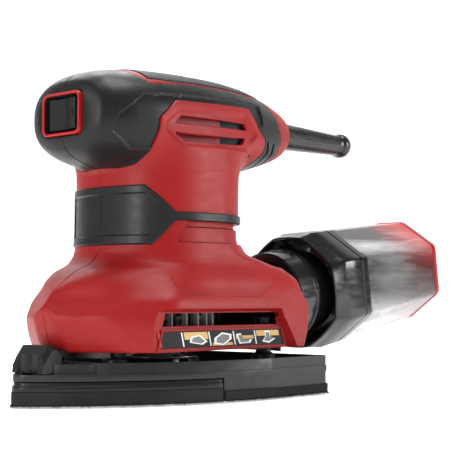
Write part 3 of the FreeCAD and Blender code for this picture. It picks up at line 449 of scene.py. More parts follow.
def line_distance(p, points):
    """Distance to a line through points in space."""
    points = np.array(points, float)
    best = np.full(len(p), 1e9)
    for a, b in zip(points[:-1], points[1:]):
        d = b - a
        t = np.clip((p - a) @ d / (d @ d), 0, 1)
        best = np.minimum(best, np.linalg.norm(p - a - t[:, None] * d, axis=1))
    return best


def switch_hole(p):
    return np.where(p[:, 1] < -45, rounded_box(p[:, 0], p[:, 2] - SWITCH_Z, 11.7, 9.0, 2.6), FAR)


def guard_hole(p):
    return np.where(p[:, 1] > 70, np.hypot(p[:, 0], p[:, 2] - GUARD_Z) - 7.3, FAR)


def dust_axis_distance(p):
    way = np.array([0.0, math.cos(DUST_TILT), math.sin(DUST_TILT)])
    d = p - DUST_START
    return np.linalg.norm(d - (d @ way)[:, None] * way, axis=1)


def spigot_hole(p):
    return np.where(p[:, 1] > 35, dust_axis_distance(p) - SPIGOT_HOLE, FAR)


def recess_floor_x(z):
    """The floor of the recess that holds the outlet and the label leans in a little towards the bottom."""
    return 38.0 + 0.1 * (z - 30)


def recess_wall(p):
    """The X of the outlet recess's floor and walls at each (Y, Z)."""
    y, z = p[:, 1], p[:, 2]
    roof = 4.0 * (z - 37.7)
    # the rear wall is steep at the top and opens out towards the bottom
    rear = 7.0 * (y - 43.5 + 0.59 * (z - 23)) / np.maximum(1 + 0.65 * (35 - z), 0.9)
    return recess_floor_x(z) + np.maximum(np.maximum(roof, rear), 0)


def low_on_side(p):
    """Where the outlet recess can be."""
    return (p[:, 0] > 30) & (p[:, 2] < 44)


def recess_mouth(p):
    return np.where(low_on_side(p), recess_wall(p) - p[:, 0], FAR)


def recess_floor(p):
    return np.where(low_on_side(p), recess_wall(p) - recess_floor_x(p[:, 2]) - 0.05, FAR)


side_faces = {name: side_view(outline) for name, outline in {
    "grip": GRIP, "grip_step": GRIP_STEP, "band": BAND, "band_panel": BAND_PANEL, "vent_mouth": VENT_MOUTH,
    "upper_vent": VENTS[0], "lower_vent": VENTS[1], "low_ledge": LEDGES[0], "high_ledge": LEDGES[1],
    "skirt_panel": SKIRT_PANEL, "outlet": OUTLET, "label": LABEL, "skirt_edge": SKIRT_EDGE,
}.items()}
top_pad_edge = top_view(TOP_PAD)
top_stripe_edge = top_view(TOP_STRIPE)


def on_side(name):
    """A side outline's distance, kept away from faces that look forward, back or up."""
    return lambda p: np.where(np.abs(p[:, 0]) > 14, side_faces[name](p), FAR)


def grip_edge(p):
    """Inside the grip: within its side outline and outside the bare stripe on top."""
    return np.maximum(side_faces["grip"](p), -top_stripe_edge(p))


def offset(field, amount):
    return lambda p: field(p) - amount


def within(field, reach, other):
    """The field where other is less than reach, and far outside elsewhere."""
    return lambda p: np.where(other(p) < reach, field(p), FAR)


SEAM = 0.4  # half width of a parting groove
RIM = 0.45  # how far a piece's edge is rounded
SKIRT_RIM, HOLE_RIM, VENT_RIM = 0.5, 0.6, 0.35  # the same at the skirt's lower edge, holes and vents
GRIP_STEP_RUN, MOUTH_RUN, STEP_RUN = 0.8, 1.7, 0.6  # how wide each step down is
GROOVE_HALF, GROOVE_WALL = 0.9, 0.45  # half width of a strap groove, and how wide its wall is


def cut_lines():
    """Every line that the surface mesh has to follow."""
    lines = [lambda p: p[:, 0], lambda p: p[:, 0] - SEAM]
    for edge in (side_faces["grip"], side_faces["band"], top_pad_edge, top_stripe_edge):
        lines += [edge, offset(edge, RIM), offset(edge, -RIM)]
    lines += [side_faces["skirt_edge"], offset(side_faces["skirt_edge"], SKIRT_RIM)]
    for hole in (switch_hole, guard_hole):
        lines += [hole, offset(hole, HOLE_RIM)]
    lines.append(spigot_hole)
    step = on_side("grip_step")
    lines += [step, offset(step, -GRIP_STEP_RUN)]
    for groove in STRAP_GROOVES:
        line = side_view(groove, closed=False)
        lines += [offset(line, GROOVE_HALF), offset(line, GROOVE_HALF - GROOVE_WALL)]
    mouth, upper, lower = on_side("vent_mouth"), on_side("upper_vent"), on_side("lower_vent")
    lines += [mouth, offset(mouth, -MOUTH_RUN), upper, lower]
    lines += [offset(upper, VENT_RIM), offset(lower, VENT_RIM)]
    panel = within(side_faces["band_panel"], 0, side_faces["band"])
    for step in (panel, side_faces["low_ledge"], side_faces["high_ledge"], on_side("skirt_panel")):
        lines += [step, offset(step, -STEP_RUN)]
    lines += [recess_mouth, offset(recess_mouth, 0.4), recess_floor]
    outlet, label = (within(side_faces[name], 0.5, recess_floor) for name in ("outlet", "label"))
    lines += [outlet, offset(outlet, 0.4), label]
    return lines


def ramp_down(field, depth, run):
    """A drop of depth inside an outline, over a slope run wide."""
    return -depth * np.clip(-field / run, 0, 1)


def parting(p, depth):
    """The groove along the centre plane."""
    return np.where(np.abs(p[:, 0]) < SEAM, rounded_rim(p[:, 0], depth, SEAM), 0)


def rounded_rim(distance, depth, reach=RIM):
    """How far an edge drops within reach of a line."""
    return -depth * np.clip(1 - np.abs(distance) / reach, 0, 1) ** 2


def crease(p, points, height, width):
    """A low ridge along a line through points."""
    return height * np.clip(1 - line_distance(p, points) / width, 0, 1) ** 2


def outer_shift(p, kind):
    """How far the visible surface stands out from the smooth form, by kind of piece."""
    shift = np.zeros(len(p))
    if kind == "housing":
        shift += crease(p, NOSE_CREASE, 0.5, 4.0) + crease(p, FLANK_CREASE, 0.8, 3.5)
        shift += ramp_down(on_side("vent_mouth")(p), 1.5, MOUTH_RUN)
        for name in ("upper_vent", "lower_vent"):
            shift += rounded_rim(on_side(name)(p), 0.3, VENT_RIM)
        for name in ("low_ledge", "high_ledge"):
            shift += ramp_down(side_faces[name](p), 1.1, STEP_RUN)
        # the panel on the skirt fades out upwards
        fade = 1 - smooth_step((p[:, 2] - 46) / 8)
        shift += ramp_down(on_side("skirt_panel")(p), 1.0, STEP_RUN) * fade
        shift += rounded_rim(side_faces["skirt_edge"](p), 0.4, SKIRT_RIM)
        shift += rounded_rim(side_faces["grip"](p), 0.35)
        shift += rounded_rim(top_stripe_edge(p), 0.2) + rounded_rim(top_pad_edge(p), 0.3)
        shift += parting(p, 0.35)
    if kind == "grip":
        shift += -1.0 * smooth_step(-on_side("grip_step")(p) / GRIP_STEP_RUN)
        for groove in STRAP_GROOVES:
            past_rim = side_view(groove, closed=False)(p) - GROOVE_HALF
            shift += np.where(np.abs(p[:, 0]) > 8, ramp_down(past_rim, 1.3, GROOVE_WALL), 0)
        shift += rounded_rim(side_faces["grip"](p), 0.45) + rounded_rim(top_stripe_edge(p), 0.45)
        shift += parting(p, 0.3)
    if kind == "top_pad":
        shift += 0.25 + rounded_rim(top_pad_edge(p), 0.6)
    if kind == "band":
        panel = np.where(p[:, 1] < -10, side_faces["band_panel"](p), FAR)
        shift += BAND_PROUD + ramp_down(panel, 0.8, STEP_RUN)
        shift += rounded_rim(side_faces["band"](p), 0.7)
        shift += parting(p, 0.4)
    shift += rounded_rim(switch_hole(p), 0.5, HOLE_RIM) + rounded_rim(guard_hole(p), 0.4, HOLE_RIM)
    return shift


def labelled(points, triangles):
    """The name of the region that each triangle is in, or an empty name for an opening."""
    middle = points[triangles].mean(1)
    names = np.full(len(middle), "housing", dtype="<U12")
    names[grip_edge(middle) < 0] = "grip"
    names[top_pad_edge(middle) < 0] = "top_pad"
    names[side_faces["band"](middle) < 0] = "band"
    on_recess = recess_mouth(middle) < 0
    names[on_recess] = "recess"
    openings = (
        (middle[:, 0] < 0) | (side_faces["skirt_edge"](middle) < 0) | (switch_hole(middle) < 0)
        | (guard_hole(middle) < 0) | (spigot_hole(middle) < 0) | (on_side("upper_vent")(middle) < 0)
        | (on_side("lower_vent")(middle) < 0) | (on_recess & (side_faces["outlet"](middle) < 0))
    )
    names[openings] = ""
    return names


class Skin:
    """The cut outer surface of the tool's left half."""

    def __init__(self):
        mesh = surface_mesh(outer_distance, (-1.8, -72, 18), (46, 86, 145), GRID)
        for line in cut_lines():
            mesh = cut_along(mesh, line, outer_distance)
        self.points, self.triangles = mesh
        slope = gradient(outer_distance, self.points)
        self.normals = slope / np.linalg.norm(slope, axis=1)[:, None]
        self.regions = labelled(self.points, self.triangles)

    def shifted(self, amount, kind):
        """The points moved out by an amount each; the recess is cut back to its own walls."""
        points = self.points + self.normals * amount[:, None]
        if kind == "recess":
            points[:, 0] = np.minimum(points[:, 0], recess_wall(self.points))
        return points

    def shell(self, layers, mirrored=False, open_centre=False):
        """A closed thin solid. layers: {region: (kind of surface, top offset, bottom offset)}."""
        vertices, faces, borders, total = [], [], {}, 0
        for region, (kind, top, bottom) in layers.items():
            triangles = self.triangles[self.regions == region]
            used = np.unique(triangles)
            shift = outer_shift(self.points, "housing" if kind == "recess" else kind)
            upper = self.shifted(shift + top, kind)[used]
            lower = self.shifted(shift * 0.5 + bottom, kind)[used]
            if kind == "recess":
                lower[:, 0] = np.minimum(lower[:, 0], upper[:, 0] - RECESS_WALL)
            vertices += [upper, lower]
            number = np.full(len(self.points), -1)
            number[used] = np.arange(len(used)) + total
            tri = number[triangles]
            faces += [tri, tri[:, ::-1] + len(used)]
            for a, b in edges_of(triangles).tolist():
                borders.setdefault((min(a, b), max(a, b)), []).append((a, b, number[a], number[b], len(used)))
            total += 2 * len(used)
        vertices = np.concatenate(vertices)
        centre = np.abs(self.points[:, 0]) < 1e-6
        walls = []
        for sides in borders.values():
            a, b, i, j, under = sides[0]
            if len(sides) == 1 and not (open_centre and centre[a] and centre[b]):
                walls += [(j, i, i + under), (j, i + under, j + under)]
            elif len(sides) == 2 and sides[1][4] != under:
                m, n, below = sides[1][3], sides[1][2], sides[1][4]
                walls += [(j, i, m), (j, m, n)]
                walls += [(i + under, j + under, n + below), (i + under, n + below, m + below)]
        faces = np.concatenate(faces + [np.array(walls, int).reshape(-1, 3)])
        if mirrored:
            vertices = vertices * np.array([-1, 1, 1])
            faces = faces[:, ::-1]
        return vertices, faces


# --- meshes and materials in Blender ---


def new_object(name, vertices, faces, material, sharp):
    """A smooth-shaded mesh object from millimetre coordinates."""
    mesh = bpy.data.meshes.new(name)
    mesh.from_pydata((np.asarray(vertices) * MM).tolist(), [], [list(face) for face in faces])
    work = bmesh.new()
    work.from_mesh(mesh)
    bmesh.ops.remove_doubles(work, verts=work.verts, dist=2e-6)
    gaps = [edge for edge in work.edges if edge.is_boundary]
    bmesh.ops.holes_fill(work, edges=gaps, sides=4)
    bmesh.ops.recalc_face_normals(work, faces=work.faces)
    work.to_mesh(mesh)
    work.free()
    for polygon in mesh.polygons:
        polygon.use_smooth = True
    mesh.set_sharp_from_angle(angle=math.radians(sharp))
    mesh.materials.append(material)
    obj = bpy.data.objects.new(name, mesh)
    bpy.context.scene.collection.objects.link(obj)
    return obj


def piece(name, shape, finish, body, slot, *nodes, sharp=35.0):
    """A piece in one finish, tied to its body, that stands in for the frame nodes it hides. Its slot is not
    used.
    """
    obj = new_object(name, *shape, finishes[finish], sharp)
    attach(obj, body)
    if nodes:
        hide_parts(*nodes)


class Surface:
    """A material being built from nodes, in the coordinates of the part."""

    def __init__(self, name, colour, roughness, **sockets):
        self.material = bpy.data.materials.new(name)
        self.material.use_nodes = True
        self.tree = self.material.node_tree
        self.shader = self.tree.nodes["Principled BSDF"]
        self.shader.inputs["Base Color"].default_value = (*colour, 1)
        self.shader.inputs["Roughness"].default_value = roughness
        for socket, value in sockets.items():
            self.shader.inputs[socket.replace("_", " ")].default_value = value
        self.where = self.node("ShaderNodeTexCoord").outputs["Object"]
        self.normal = None

    def node(self, kind, **values):
        """A new node, with its inputs or its own settings given by name."""
        node = self.tree.nodes.new(kind)
        for name, value in values.items():
            if name in node.inputs:
                node.inputs[name].default_value = value
            else:
                setattr(node, name, value)
        return node

    def link(self, output, target):
        self.tree.links.new(output, target)

    def noise(self, scale, detail=3.0, roughness=0.5, stretch=None):
        noise = self.node("ShaderNodeTexNoise", Scale=scale, Detail=detail, Roughness=roughness)
        where = self.where
        if stretch:
            mapping = self.node("ShaderNodeMapping", Scale=stretch)
            self.link(where, mapping.inputs["Vector"])
            where = mapping.outputs["Vector"]
        self.link(where, noise.inputs["Vector"])
        return noise.outputs["Fac"]

    def ramp(self, value, low, high, start=0.35, end=0.65):
        """value mapped from start..end to low..high, kept between them."""
        ramp = self.node("ShaderNodeMapRange")
        ramp.inputs["From Min"].default_value = start
        ramp.inputs["From Max"].default_value = end
        ramp.inputs["To Min"].default_value = low
        ramp.inputs["To Max"].default_value = high
        self.link(value, ramp.inputs["Value"])
        return ramp.outputs["Result"]

    def tint(self, value, first, second):
        """The base colour runs from first to second as value goes from 0 to 1."""
        mix = self.node("ShaderNodeMix", data_type="RGBA")
        mix.inputs["A"].default_value = (*first, 1)
        mix.inputs["B"].default_value = (*second, 1)
        self.link(value, mix.inputs["Factor"])
        self.link(mix.outputs["Result"], self.shader.inputs["Base Color"])
        return mix

    def maths(self, operation, *inputs):
        """The result of a Math node on numbers and other nodes' outputs."""
        node = self.node("ShaderNodeMath", operation=operation)
        for socket, value in zip(node.inputs, inputs):
            if isinstance(value, float):
                socket.default_value = value
            else:
                self.link(value, socket)
        return node.outputs[0]

    def rough(self, value):
        self.link(value, self.shader.inputs["Roughness"])

    def bump(self, value, height, strength=1.0):
        bump = self.node("ShaderNodeBump", Strength=strength, Distance=height * MM)
        self.link(value, bump.inputs["Height"])
        if self.normal:
            self.link(self.normal, bump.inputs["Normal"])
        self.normal = bump.outputs["Normal"]
        self.link(self.normal, self.shader.inputs["Normal"])


def shade(colour, factor):
    return tuple(min(1.0, c * factor) for c in colour)


def moulded(name, colour, roughness, grain=900.0, height=0.05, variation=0.07, shine=0.14):
    """Moulded plastic or rubber: fine grain, soft patches in its colour and gloss, and small scuffs."""
    surface = Surface(name, colour, roughness, Specular_IOR_Level=shine)
    patches = surface.noise(28.0, 4.0, 0.6)
    surface.tint(surface.ramp(patches, 0.0, 1.0), shade(colour, 1 - variation), shade(colour, 1 + variation))
    scuffs = surface.noise(260.0, 5.0, 0.7, stretch=(1.0, 0.35, 1.6))
    surface.rough(surface.ramp(scuffs, roughness - 0.05, roughness + 0.07))
    surface.bump(surface.noise(grain, 2.0, 0.6), height, 0.6)
    surface.bump(patches, 0.05, 0.1)
    return surface.material


def dotted_rubber(name, colour, roughness):
    """Soft rubber with close raised dots, their tops painted lighter as painted highlight and the gaps
    between them painted darker as painted shade.
    """
    surface = Surface(name, colour, roughness, Specular_IOR_Level=0.2)
    dots = surface.node("ShaderNodeTexVoronoi", Scale=620.0, Randomness=0.15)
    surface.link(surface.where, dots.inputs["Vector"])
    domes = surface.ramp(dots.outputs["Distance"], 1.0, 0.0, 0.15, 0.5)
    surface.bump(domes, 0.5)
    # painted highlight on the dots' tops and painted shade in the gaps between them
    surface.tint(domes, shade(colour, 0.6), shade(colour, 1.3))
    return surface.material


def brushed_metal(name, colour, roughness):
    """Metal with fine marks along one way."""
    surface = Surface(name, colour, roughness, Metallic=1.0)
    marks = surface.noise(900.0, 3.0, 0.6, stretch=(1.0, 1.0, 0.08))
    surface.tint(surface.ramp(marks, 0.0, 1.0), shade(colour, 0.85), shade(colour, 1.1))
    surface.rough(surface.ramp(marks, roughness - 0.06, roughness + 0.1))
    surface.bump(marks, 0.03, 0.4)
    return surface.material


def clear_plastic(name):
    """Clear plastic, clouded by streaks of dust along the bin and tinted by the red cap towards its end.
    Painted shade darkens the middle of its sides, and painted light brightens its top and bottom.
    """
    surface = Surface(name, (0.9, 0.9, 0.9), 0.16, IOR=1.3, Transmission_Weight=0.5)
    streaks = surface.noise(60.0, 4.0, 0.6, stretch=(1.0, 0.05, 1.0))
    clouds = surface.noise(34.0, 4.0, 0.6, stretch=(1.0, 0.25, 1.0))
    dust = surface.maths("MULTIPLY_ADD", streaks, 0.5, surface.maths("MULTIPLY", clouds, 0.5))
    mix = surface.tint(surface.ramp(dust, 0.0, 1.0, 0.42, 0.58), (0.1, 0.1, 0.1), (0.7, 0.7, 0.7))
    where = surface.node("ShaderNodeSeparateXYZ")
    surface.link(surface.where, where.inputs["Vector"])
    along = surface.ramp(where.outputs["Y"], 0.0, 1.0, 0.145, 0.184)
    height = surface.ramp(where.outputs["Z"], 0.25, 1.0, 0.050, 0.084)
    blush = surface.node("ShaderNodeMix", data_type="RGBA")
    surface.link(surface.maths("MULTIPLY", along, height), blush.inputs["Factor"])
    surface.link(mix.outputs["Result"], blush.inputs["A"])
    blush.inputs["B"].default_value = (0.5, 0.02, 0.02, 1)
    # painted shade and light: the middle of the sides is painted darker, and the top and the bottom are
    # painted lighter
    off_middle = surface.maths("ABSOLUTE", surface.maths("SUBTRACT", where.outputs["Z"], 0.0505))
    depth = surface.node("ShaderNodeHueSaturation")
    surface.link(surface.ramp(off_middle, 0.5, 1.8, 0.007, 0.024), depth.inputs["Value"])
    surface.link(blush.outputs["Result"], depth.inputs["Color"])
    surface.link(depth.outputs["Color"], surface.shader.inputs["Base Color"])
    surface.rough(surface.ramp(dust, 0.08, 0.35))
    return surface.material


RED = (0.27, 0.006, 0.0065)
BLACK = (0.011, 0.011, 0.0115)

# each finish: how it is made, its colour and roughness, and what else its function takes, in order
FINISHES = {
    "red_shell": (moulded, RED, 0.46, 1500.0, 0.03, 0.07, 0.25),
    "red_trim": (moulded, (0.34, 0.007, 0.008), 0.32, 1500.0, 0.02, 0.07, 0.3),
    "black_grip": (moulded, (0.011, 0.0107, 0.011), 0.38, 1300.0, 0.05, 0.12, 0.2),
    "black_rubber": (moulded, (0.013, 0.013, 0.0135), 0.36, 1000.0, 0.06, 0.1, 0.25),
    "black_plastic": (moulded, BLACK, 0.34, 1400.0, 0.04, 0.1, 0.25),
    "label_black": (moulded, (0.012, 0.012, 0.013), 0.3, 2500.0, 0.01),
    "screw_steel": (brushed_metal, (0.35, 0.35, 0.36), 0.35),
    "bearing_steel": (brushed_metal, (0.6, 0.6, 0.62), 0.22),
    "lamination": (brushed_metal, (0.3, 0.3, 0.31), 0.42),
    "copper": (brushed_metal, (0.7, 0.28, 0.12), 0.3),
    "brass": (brushed_metal, (0.72, 0.5, 0.18), 0.28),
    "carbon": (moulded, (0.03, 0.03, 0.03), 0.6),
    "cast_zinc": (brushed_metal, (0.45, 0.45, 0.46), 0.45),
    "capacitor_blue": (moulded, (0.03, 0.12, 0.4), 0.35),
    "fan_nylon": (moulded, (0.3, 0.29, 0.27), 0.5),
    "foam_black": (moulded, (0.018, 0.018, 0.018), 0.9, 600.0, 0.3, 0.3),
    "hook_sheet": (moulded, (0.014, 0.014, 0.014), 0.85, 900.0, 0.2, 0.3),
    "filter_paper": (moulded, (0.75, 0.74, 0.7), 0.85, 700.0, 0.15, 0.05),
    "dotted_grip": (dotted_rubber, (0.02, 0.02, 0.0205), 0.45),
    "glossy_black": (moulded, (0.01, 0.01, 0.011), 0.16, 2500.0, 0.01, 0.1, 0.5),
    "grey_plastic": (moulded, (0.018, 0.0177, 0.0173), 0.42, 1400.0, 0.05, 0.1, 0.3),
    "satin_black": (moulded, (0.01, 0.01, 0.0105), 0.26, 2500.0, 0.01, 0.1, 0.45),
    "label_white": (moulded, (0.8, 0.8, 0.8), 0.4, 2500.0, 0.01),
    "label_tan": (moulded, (0.62, 0.4, 0.16), 0.4, 2500.0, 0.01),
    "label_grey": (moulded, (0.2, 0.2, 0.21), 0.4, 2500.0, 0.01),
    "clear_bin": (clear_plastic,),
}
finishes = {name: make(name, *values) for name, (make, *values) in FINISHES.items()}

# frame nodes that look better in another finish than their slot's own
NODE_FINISH = {"cord_guard": "satin_black", "platen": "grey_plastic"}


def finish_frame_nodes():
    """Every node of the frame takes its finish, by its slot's name, and its hard edges are eased."""
    for node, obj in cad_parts.items():
        slot = obj.material_slots[0].material.name.split(".")[0]
        obj.material_slots[0].material = finishes[NODE_FINISH.get(node, slot)]
        weld = obj.modifiers.new("weld", "WELD")
        weld.merge_threshold = 5e-6
        flat = obj.modifiers.new("flat", "DECIMATE")
        flat.decimate_type = "DISSOLVE"
        flat.angle_limit = math.radians(0.6)
        ease = obj.modifiers.new("ease", "BEVEL")
        ease.width = 0.3 * MM
        ease.segments = 2
        ease.limit_method = "ANGLE"
        ease.angle_limit = math.radians(32)
        ease.harden_normals = True


finish_frame_nodes()

# --- lofted pieces ---


def loft(rings, ends="capped"):
    """Vertices and faces through rings of equal length. ends: capped, or joined last to first."""
    count = len(rings[0])
    vertices = np.concatenate(rings)
    faces = []
    spans = len(rings) if ends == "joined" else len(rings) - 1
    for r in range(spans):
        low, high = r * count, (r + 1) % len(rings) * count
        for k in range(count):
            n = (k + 1) % count
            faces.append((low + k, low + n, high + n, high + k))
    if ends == "capped":
        faces.append(tuple(range(count))[::-1])
        faces.append(tuple(range((len(rings) - 1) * count, len(rings) * count)))
    return vertices, faces


def slab(loops, lower, upper):
    """A flat piece: an outline and its holes, carried to two surfaces by two functions."""
    flat = np.concatenate(loops)
    count = len(flat)
    triangles = tessellate_polygon([[Vector((u, v, 0)) for u, v in loop] for loop in loops])
    faces = [tuple(t) for t in triangles] + [tuple(k + count for k in t) for t in triangles]
    start = 0
    for loop in loops:
        for k in range(len(loop)):
            a, b = start + k, start + (k + 1) % len(loop)
            faces.append((a, b, b + count, a + count))
        start += len(loop)
    return np.concatenate([lower(flat), upper(flat)]), faces


def at_height(z):
    """Carries a flat outline to one height."""
    return lambda flat: np.c_[flat, np.full(len(flat), z)]


def joined(parts):
    """Several pieces' vertices and faces as one."""
    vertices, faces, start = [], [], 0
    for points, polygons in parts:
        vertices.append(points)
        faces += [tuple(k + start for k in polygon) for polygon in polygons]
        start += len(points)
    return np.concatenate(vertices), faces


# --- the housing ---

# the shell under the rubber starts just below it and is 1.64 mm thick
UNDER_RUBBER = ("plain", -RUBBER - 0.06, -RUBBER - 1.7)


def housing_pieces():
    """Both halves of the shell, the grips and the waist band, and the top pad in one piece."""
    skin = Skin()
    shell = {
        "housing": ("housing", 0.0, -WALL),
        "recess": ("recess", 0.0, -WALL),
        "grip": UNDER_RUBBER,
        "top_pad": UNDER_RUBBER,
        "band": UNDER_RUBBER,
    }
    for side, mirrored in (("left", False), ("right", True)):
        made = skin.shell(shell, mirrored)
        piece(f"{side}_shell", made, "red_shell", "housing", "red_shell", f"{side}_housing")
        made = skin.shell({"grip": ("grip", 0.0, -RUBBER)}, mirrored)
        piece(f"{side}_soft_grip", made, "black_grip", "housing", "black_grip", f"{side}_grip")
        made = skin.shell({"band": ("band", 0.0, -RUBBER)}, mirrored)
        piece(f"{side}_band", made, "black_rubber", "housing", "black_rubber", f"{side}_waist_band")
    pad = {"top_pad": ("top_pad", 0.0, -RUBBER)}
    halves = [skin.shell(pad, mirrored, open_centre=True) for mirrored in (False, True)]
    piece("textured_top_pad", joined(halves), "dotted_grip", "housing", "black_grip", "top_grip_pad")


housing_pieces()

# --- the labels beside the base ---

LABEL_LOW, LABEL_HIGH = 23.4, 29.2
BAR_LEAN = 2.2
BARS = [-22.2, -6.0, 9.2, 23.0]


def leaning(start, end, low=LABEL_LOW, high=LABEL_HIGH):
    """A field of the label with both ends leaning back, as (Y, Z)."""
    back = BAR_LEAN * (low - LABEL_LOW) / (LABEL_HIGH - LABEL_LOW)
    top = BAR_LEAN * (high - LABEL_LOW) / (LABEL_HIGH - LABEL_LOW)
    return np.array([(start - back, low), (end - back, low), (end - top, high), (start - top, high)])


# four ways to sand, each drawn as a pad on a board
PADS = [
    [(-17.6, 25.2), (-11.6, 24.4), (-9.4, 25.4), (-13.4, 27.6), (-17.4, 27.0)],
    [(-2.6, 24.6), (1.8, 24.0), (5.6, 26.0), (5.2, 27.6), (0.6, 28.2), (-2.8, 26.4)],
    [(10.6, 27.4), (13.0, 27.6), (14.6, 25.4), (19.0, 25.6), (18.2, 24.4), (12.8, 24.2)],
    [(28.6, 28.4), (31.4, 28.2), (32.0, 26.2), (34.8, 25.6), (31.6, 24.2), (28.0, 24.8), (29.4, 26.4)],
]
BOARDS = [
    (-20.6, -6.6, 26.2, 29.2), (-4.4, 8.0, 23.4, 24.6), (10.8, 22.2, 25.8, 27.2), (24.4, 39.6, 26.8, 29.2),
]


def grown(shape, factor):
    """A flat shape scaled about the mean of its points."""
    shape = np.array(shape)
    middle = shape.mean(0)
    return middle + (shape - middle) * factor


def labels():
    """The plate, rim and pictograms on each side, one thin layer over another."""
    for side, side_name in ((1, "left"), (-1, "right")):
        def at(height):
            return lambda flat: np.stack(
                [side * (recess_floor_x(flat[:, 1]) + height), flat[:, 0], flat[:, 1]], 1)

        def inlay(shapes, height):
            return joined([slab([shape], at(height - 0.1), at(height)) for shape in shapes])

        rim = [grown(LABEL, (1.02, 1.28)), grown(LABEL, (1.004, 1.08))[::-1]]
        boards = [leaning(*board) for board in BOARDS]
        white = [leaning(bar, bar + 0.7) for bar in BARS] + [grown(pad, 1.3) for pad in PADS]
        grey = [grown(pad, 0.95) for pad in PADS]
        layers = [
            ("label_plate", slab([np.array(LABEL)], at(-0.1), at(0.35)), "label_black", "label_black"),
            ("label_rim", slab(rim, at(-0.1), at(0.75)), "red_shell", "red_shell"),
            ("label_boards", inlay(boards, 0.40), "label_tan", "label_black"),
            ("label_bars", inlay(white, 0.43), "label_white", "label_black"),
            ("label_pads", inlay(grey, 0.46), "label_grey", "label_black"),
            ("label_stroke", inlay([leaning(-35.6, -34.2)], 0.42), "red_trim", "red_trim"),
        ]
        for name, shape, finish, slot in layers:
            nodes = [f"{side_name}_label"] if name == "label_plate" else []
            piece(f"{side_name}_{name}", shape, finish, "housing", slot, *nodes)


labels()

# --- behind the openings ---


def box_shape(x, y, z):
    flat = np.array([(x[0], y[0]), (x[1], y[0]), (x[1], y[1]), (x[0], y[1])])
    return slab([flat], at_height(z[0]), at_height(z[1]))


def shroud_wall(end):
    """One end wall of the dust shroud, before or behind the posts: pointed in front, square behind."""
    start, stop, power = (-120, -60, 2 / 2.6) if end == "front" else (50, 130, 2 / 5)
    turn = np.radians(np.linspace(start, stop, 41))
    across, along = np.cos(turn), np.sin(turn)
    way = np.stack([np.sign(across) * np.abs(across) ** power, np.sign(along) * np.abs(along) ** power], 1)
    outer, inner = (way * (37.6 - inset, 53.2 - inset) for inset in (0.0, 1.4))
    return slab([np.concatenate([outer, inner[::-1]])], at_height(19.2), at_height(24.5))


def inner_walls():
    """The baffles behind the vents and the guard fins behind the outlets, on both sides."""
    baffles, screens, fins = [], [], []
    for side in (1, -1):
        def wide(inner, outer):
            return sorted((side * inner, side * outer))

        baffles.append(box_shape(wide(23.6, 24.8), (-24.0, 14.0), (106.5, 122.5)))
        screens.append(box_shape(wide(22.8, 23.4), (14.0, 36.0), (106.5, 122.5)))
        for y in (-32.0, -23.3, -14.6, -7.8, -2.6, 1.2):
            fins.append(box_shape(wide(29.6, 32.4), (y - 0.3, y + 0.3), (31.0, 37.4)))
    piece("vent_baffles", joined(baffles), "red_shell", "housing", "red_shell")
    piece("vent_screens", joined(screens), "carbon", "housing", "black_plastic")
    piece("outlet_fins", joined(fins), "fan_nylon", "housing", "fan_nylon")
    shroud = joined([shroud_wall("front"), shroud_wall("rear")])
    piece("dust_shroud", shroud, "black_rubber", "housing", "black_rubber")


inner_walls()

# --- the rubber posts between base and housing ---

# each pair of posts: the place of one across and along, and the height of their feet
POSTS = [(19.0, -42.0, 13.2), (31.0, 36.0, 8.0)]


def support_posts():
    """Four posts with a wide foot in the base, a bead above the waist and a slim head in the housing."""
    stem = [(5.0, 18.3), (4.8, 18.5), (3.4, 19.6), (3.2, 21.4), (3.4, 23.2), (3.6, 24.4), (3.6, 34.6)]
    stem.append((3.2, 35.0))
    turn = np.linspace(0, 2 * math.pi, 40, endpoint=False)
    posts = []
    for across, y, foot in POSTS:
        for x in (across, -across):
            posts.append(loft([
                np.stack([x + radius * np.cos(turn), y + radius * np.sin(turn), np.full(40, height)], 1)
                for radius, height in [(4.9, foot), (5.0, foot + 0.1)] + stem
            ]))
    piece("rubber_posts", joined(posts), "black_rubber", "base", "black_rubber", "support_posts")


support_posts()

# --- the switch frame ---


def window_ring(half_w, half_h, corner, y, steps=6):
    """A rounded rectangle round the switch, as a ring at one place along Y."""
    points = []
    for across, up, start in ((1, 1, 0), (-1, 1, 90), (-1, -1, 180), (1, -1, 270)):
        for k in range(steps + 1):
            angle = math.radians(start + 90 * k / steps)
            x = across * (half_w - corner) + corner * math.cos(angle)
            z = up * (half_h - corner) + corner * math.sin(angle)
            points.append((x, y, SWITCH_Z + z))
    return np.array(points)


def switch_frame():
    """The red rim round the rocker and the dark well inside it, each from rings of window_ring's measures."""
    rim = [
        (11.5, 8.8, 2.8, -51.6), (11.5, 8.8, 2.8, -55.4), (11.3, 8.6, 2.7, -55.8), (11.0, 8.3, 2.5, -55.95),
        (10.7, 8.0, 2.3, -55.9), (10.4, 7.7, 2.1, -55.6), (10.35, 7.65, 2.1, -51.6),
    ]
    well = [
        (10.3, 7.6, 2.0, -55.3), (9.9, 7.25, 1.4, -53.4), (9.9, 7.25, 1.4, -51.6), (10.3, 7.6, 2.0, -51.6),
    ]
    rim, well = (loft([window_ring(*ring) for ring in rings], "joined") for rings in (rim, well))
    piece("switch_frame", rim, "red_trim", "housing", "red_trim", "switch_bezel", sharp=50)
    piece("switch_well", well, "black_plastic", "housing", "black_plastic")


switch_frame()

# --- the hook fringe round the pad ---

PAD_NOSE, PAD_NOSE_R, PAD_HALF_W, PAD_SIDE_Y, PAD_REAR, PAD_CORNER = -78.0, 6.5, 49.0, 22.0, 64.0, 5.5
TIP_SPLIT, TIP_GAP = -6.5, 1.2
HOOK_TOP = 1.4
DUST_HOLES = [(18, -3), (-18, -3), (30, 14), (-30, 14), (27, 46), (-27, 46), (0, 49)]
DUST_HOLE_R = 4.0
FRINGE_STEP = 0.7


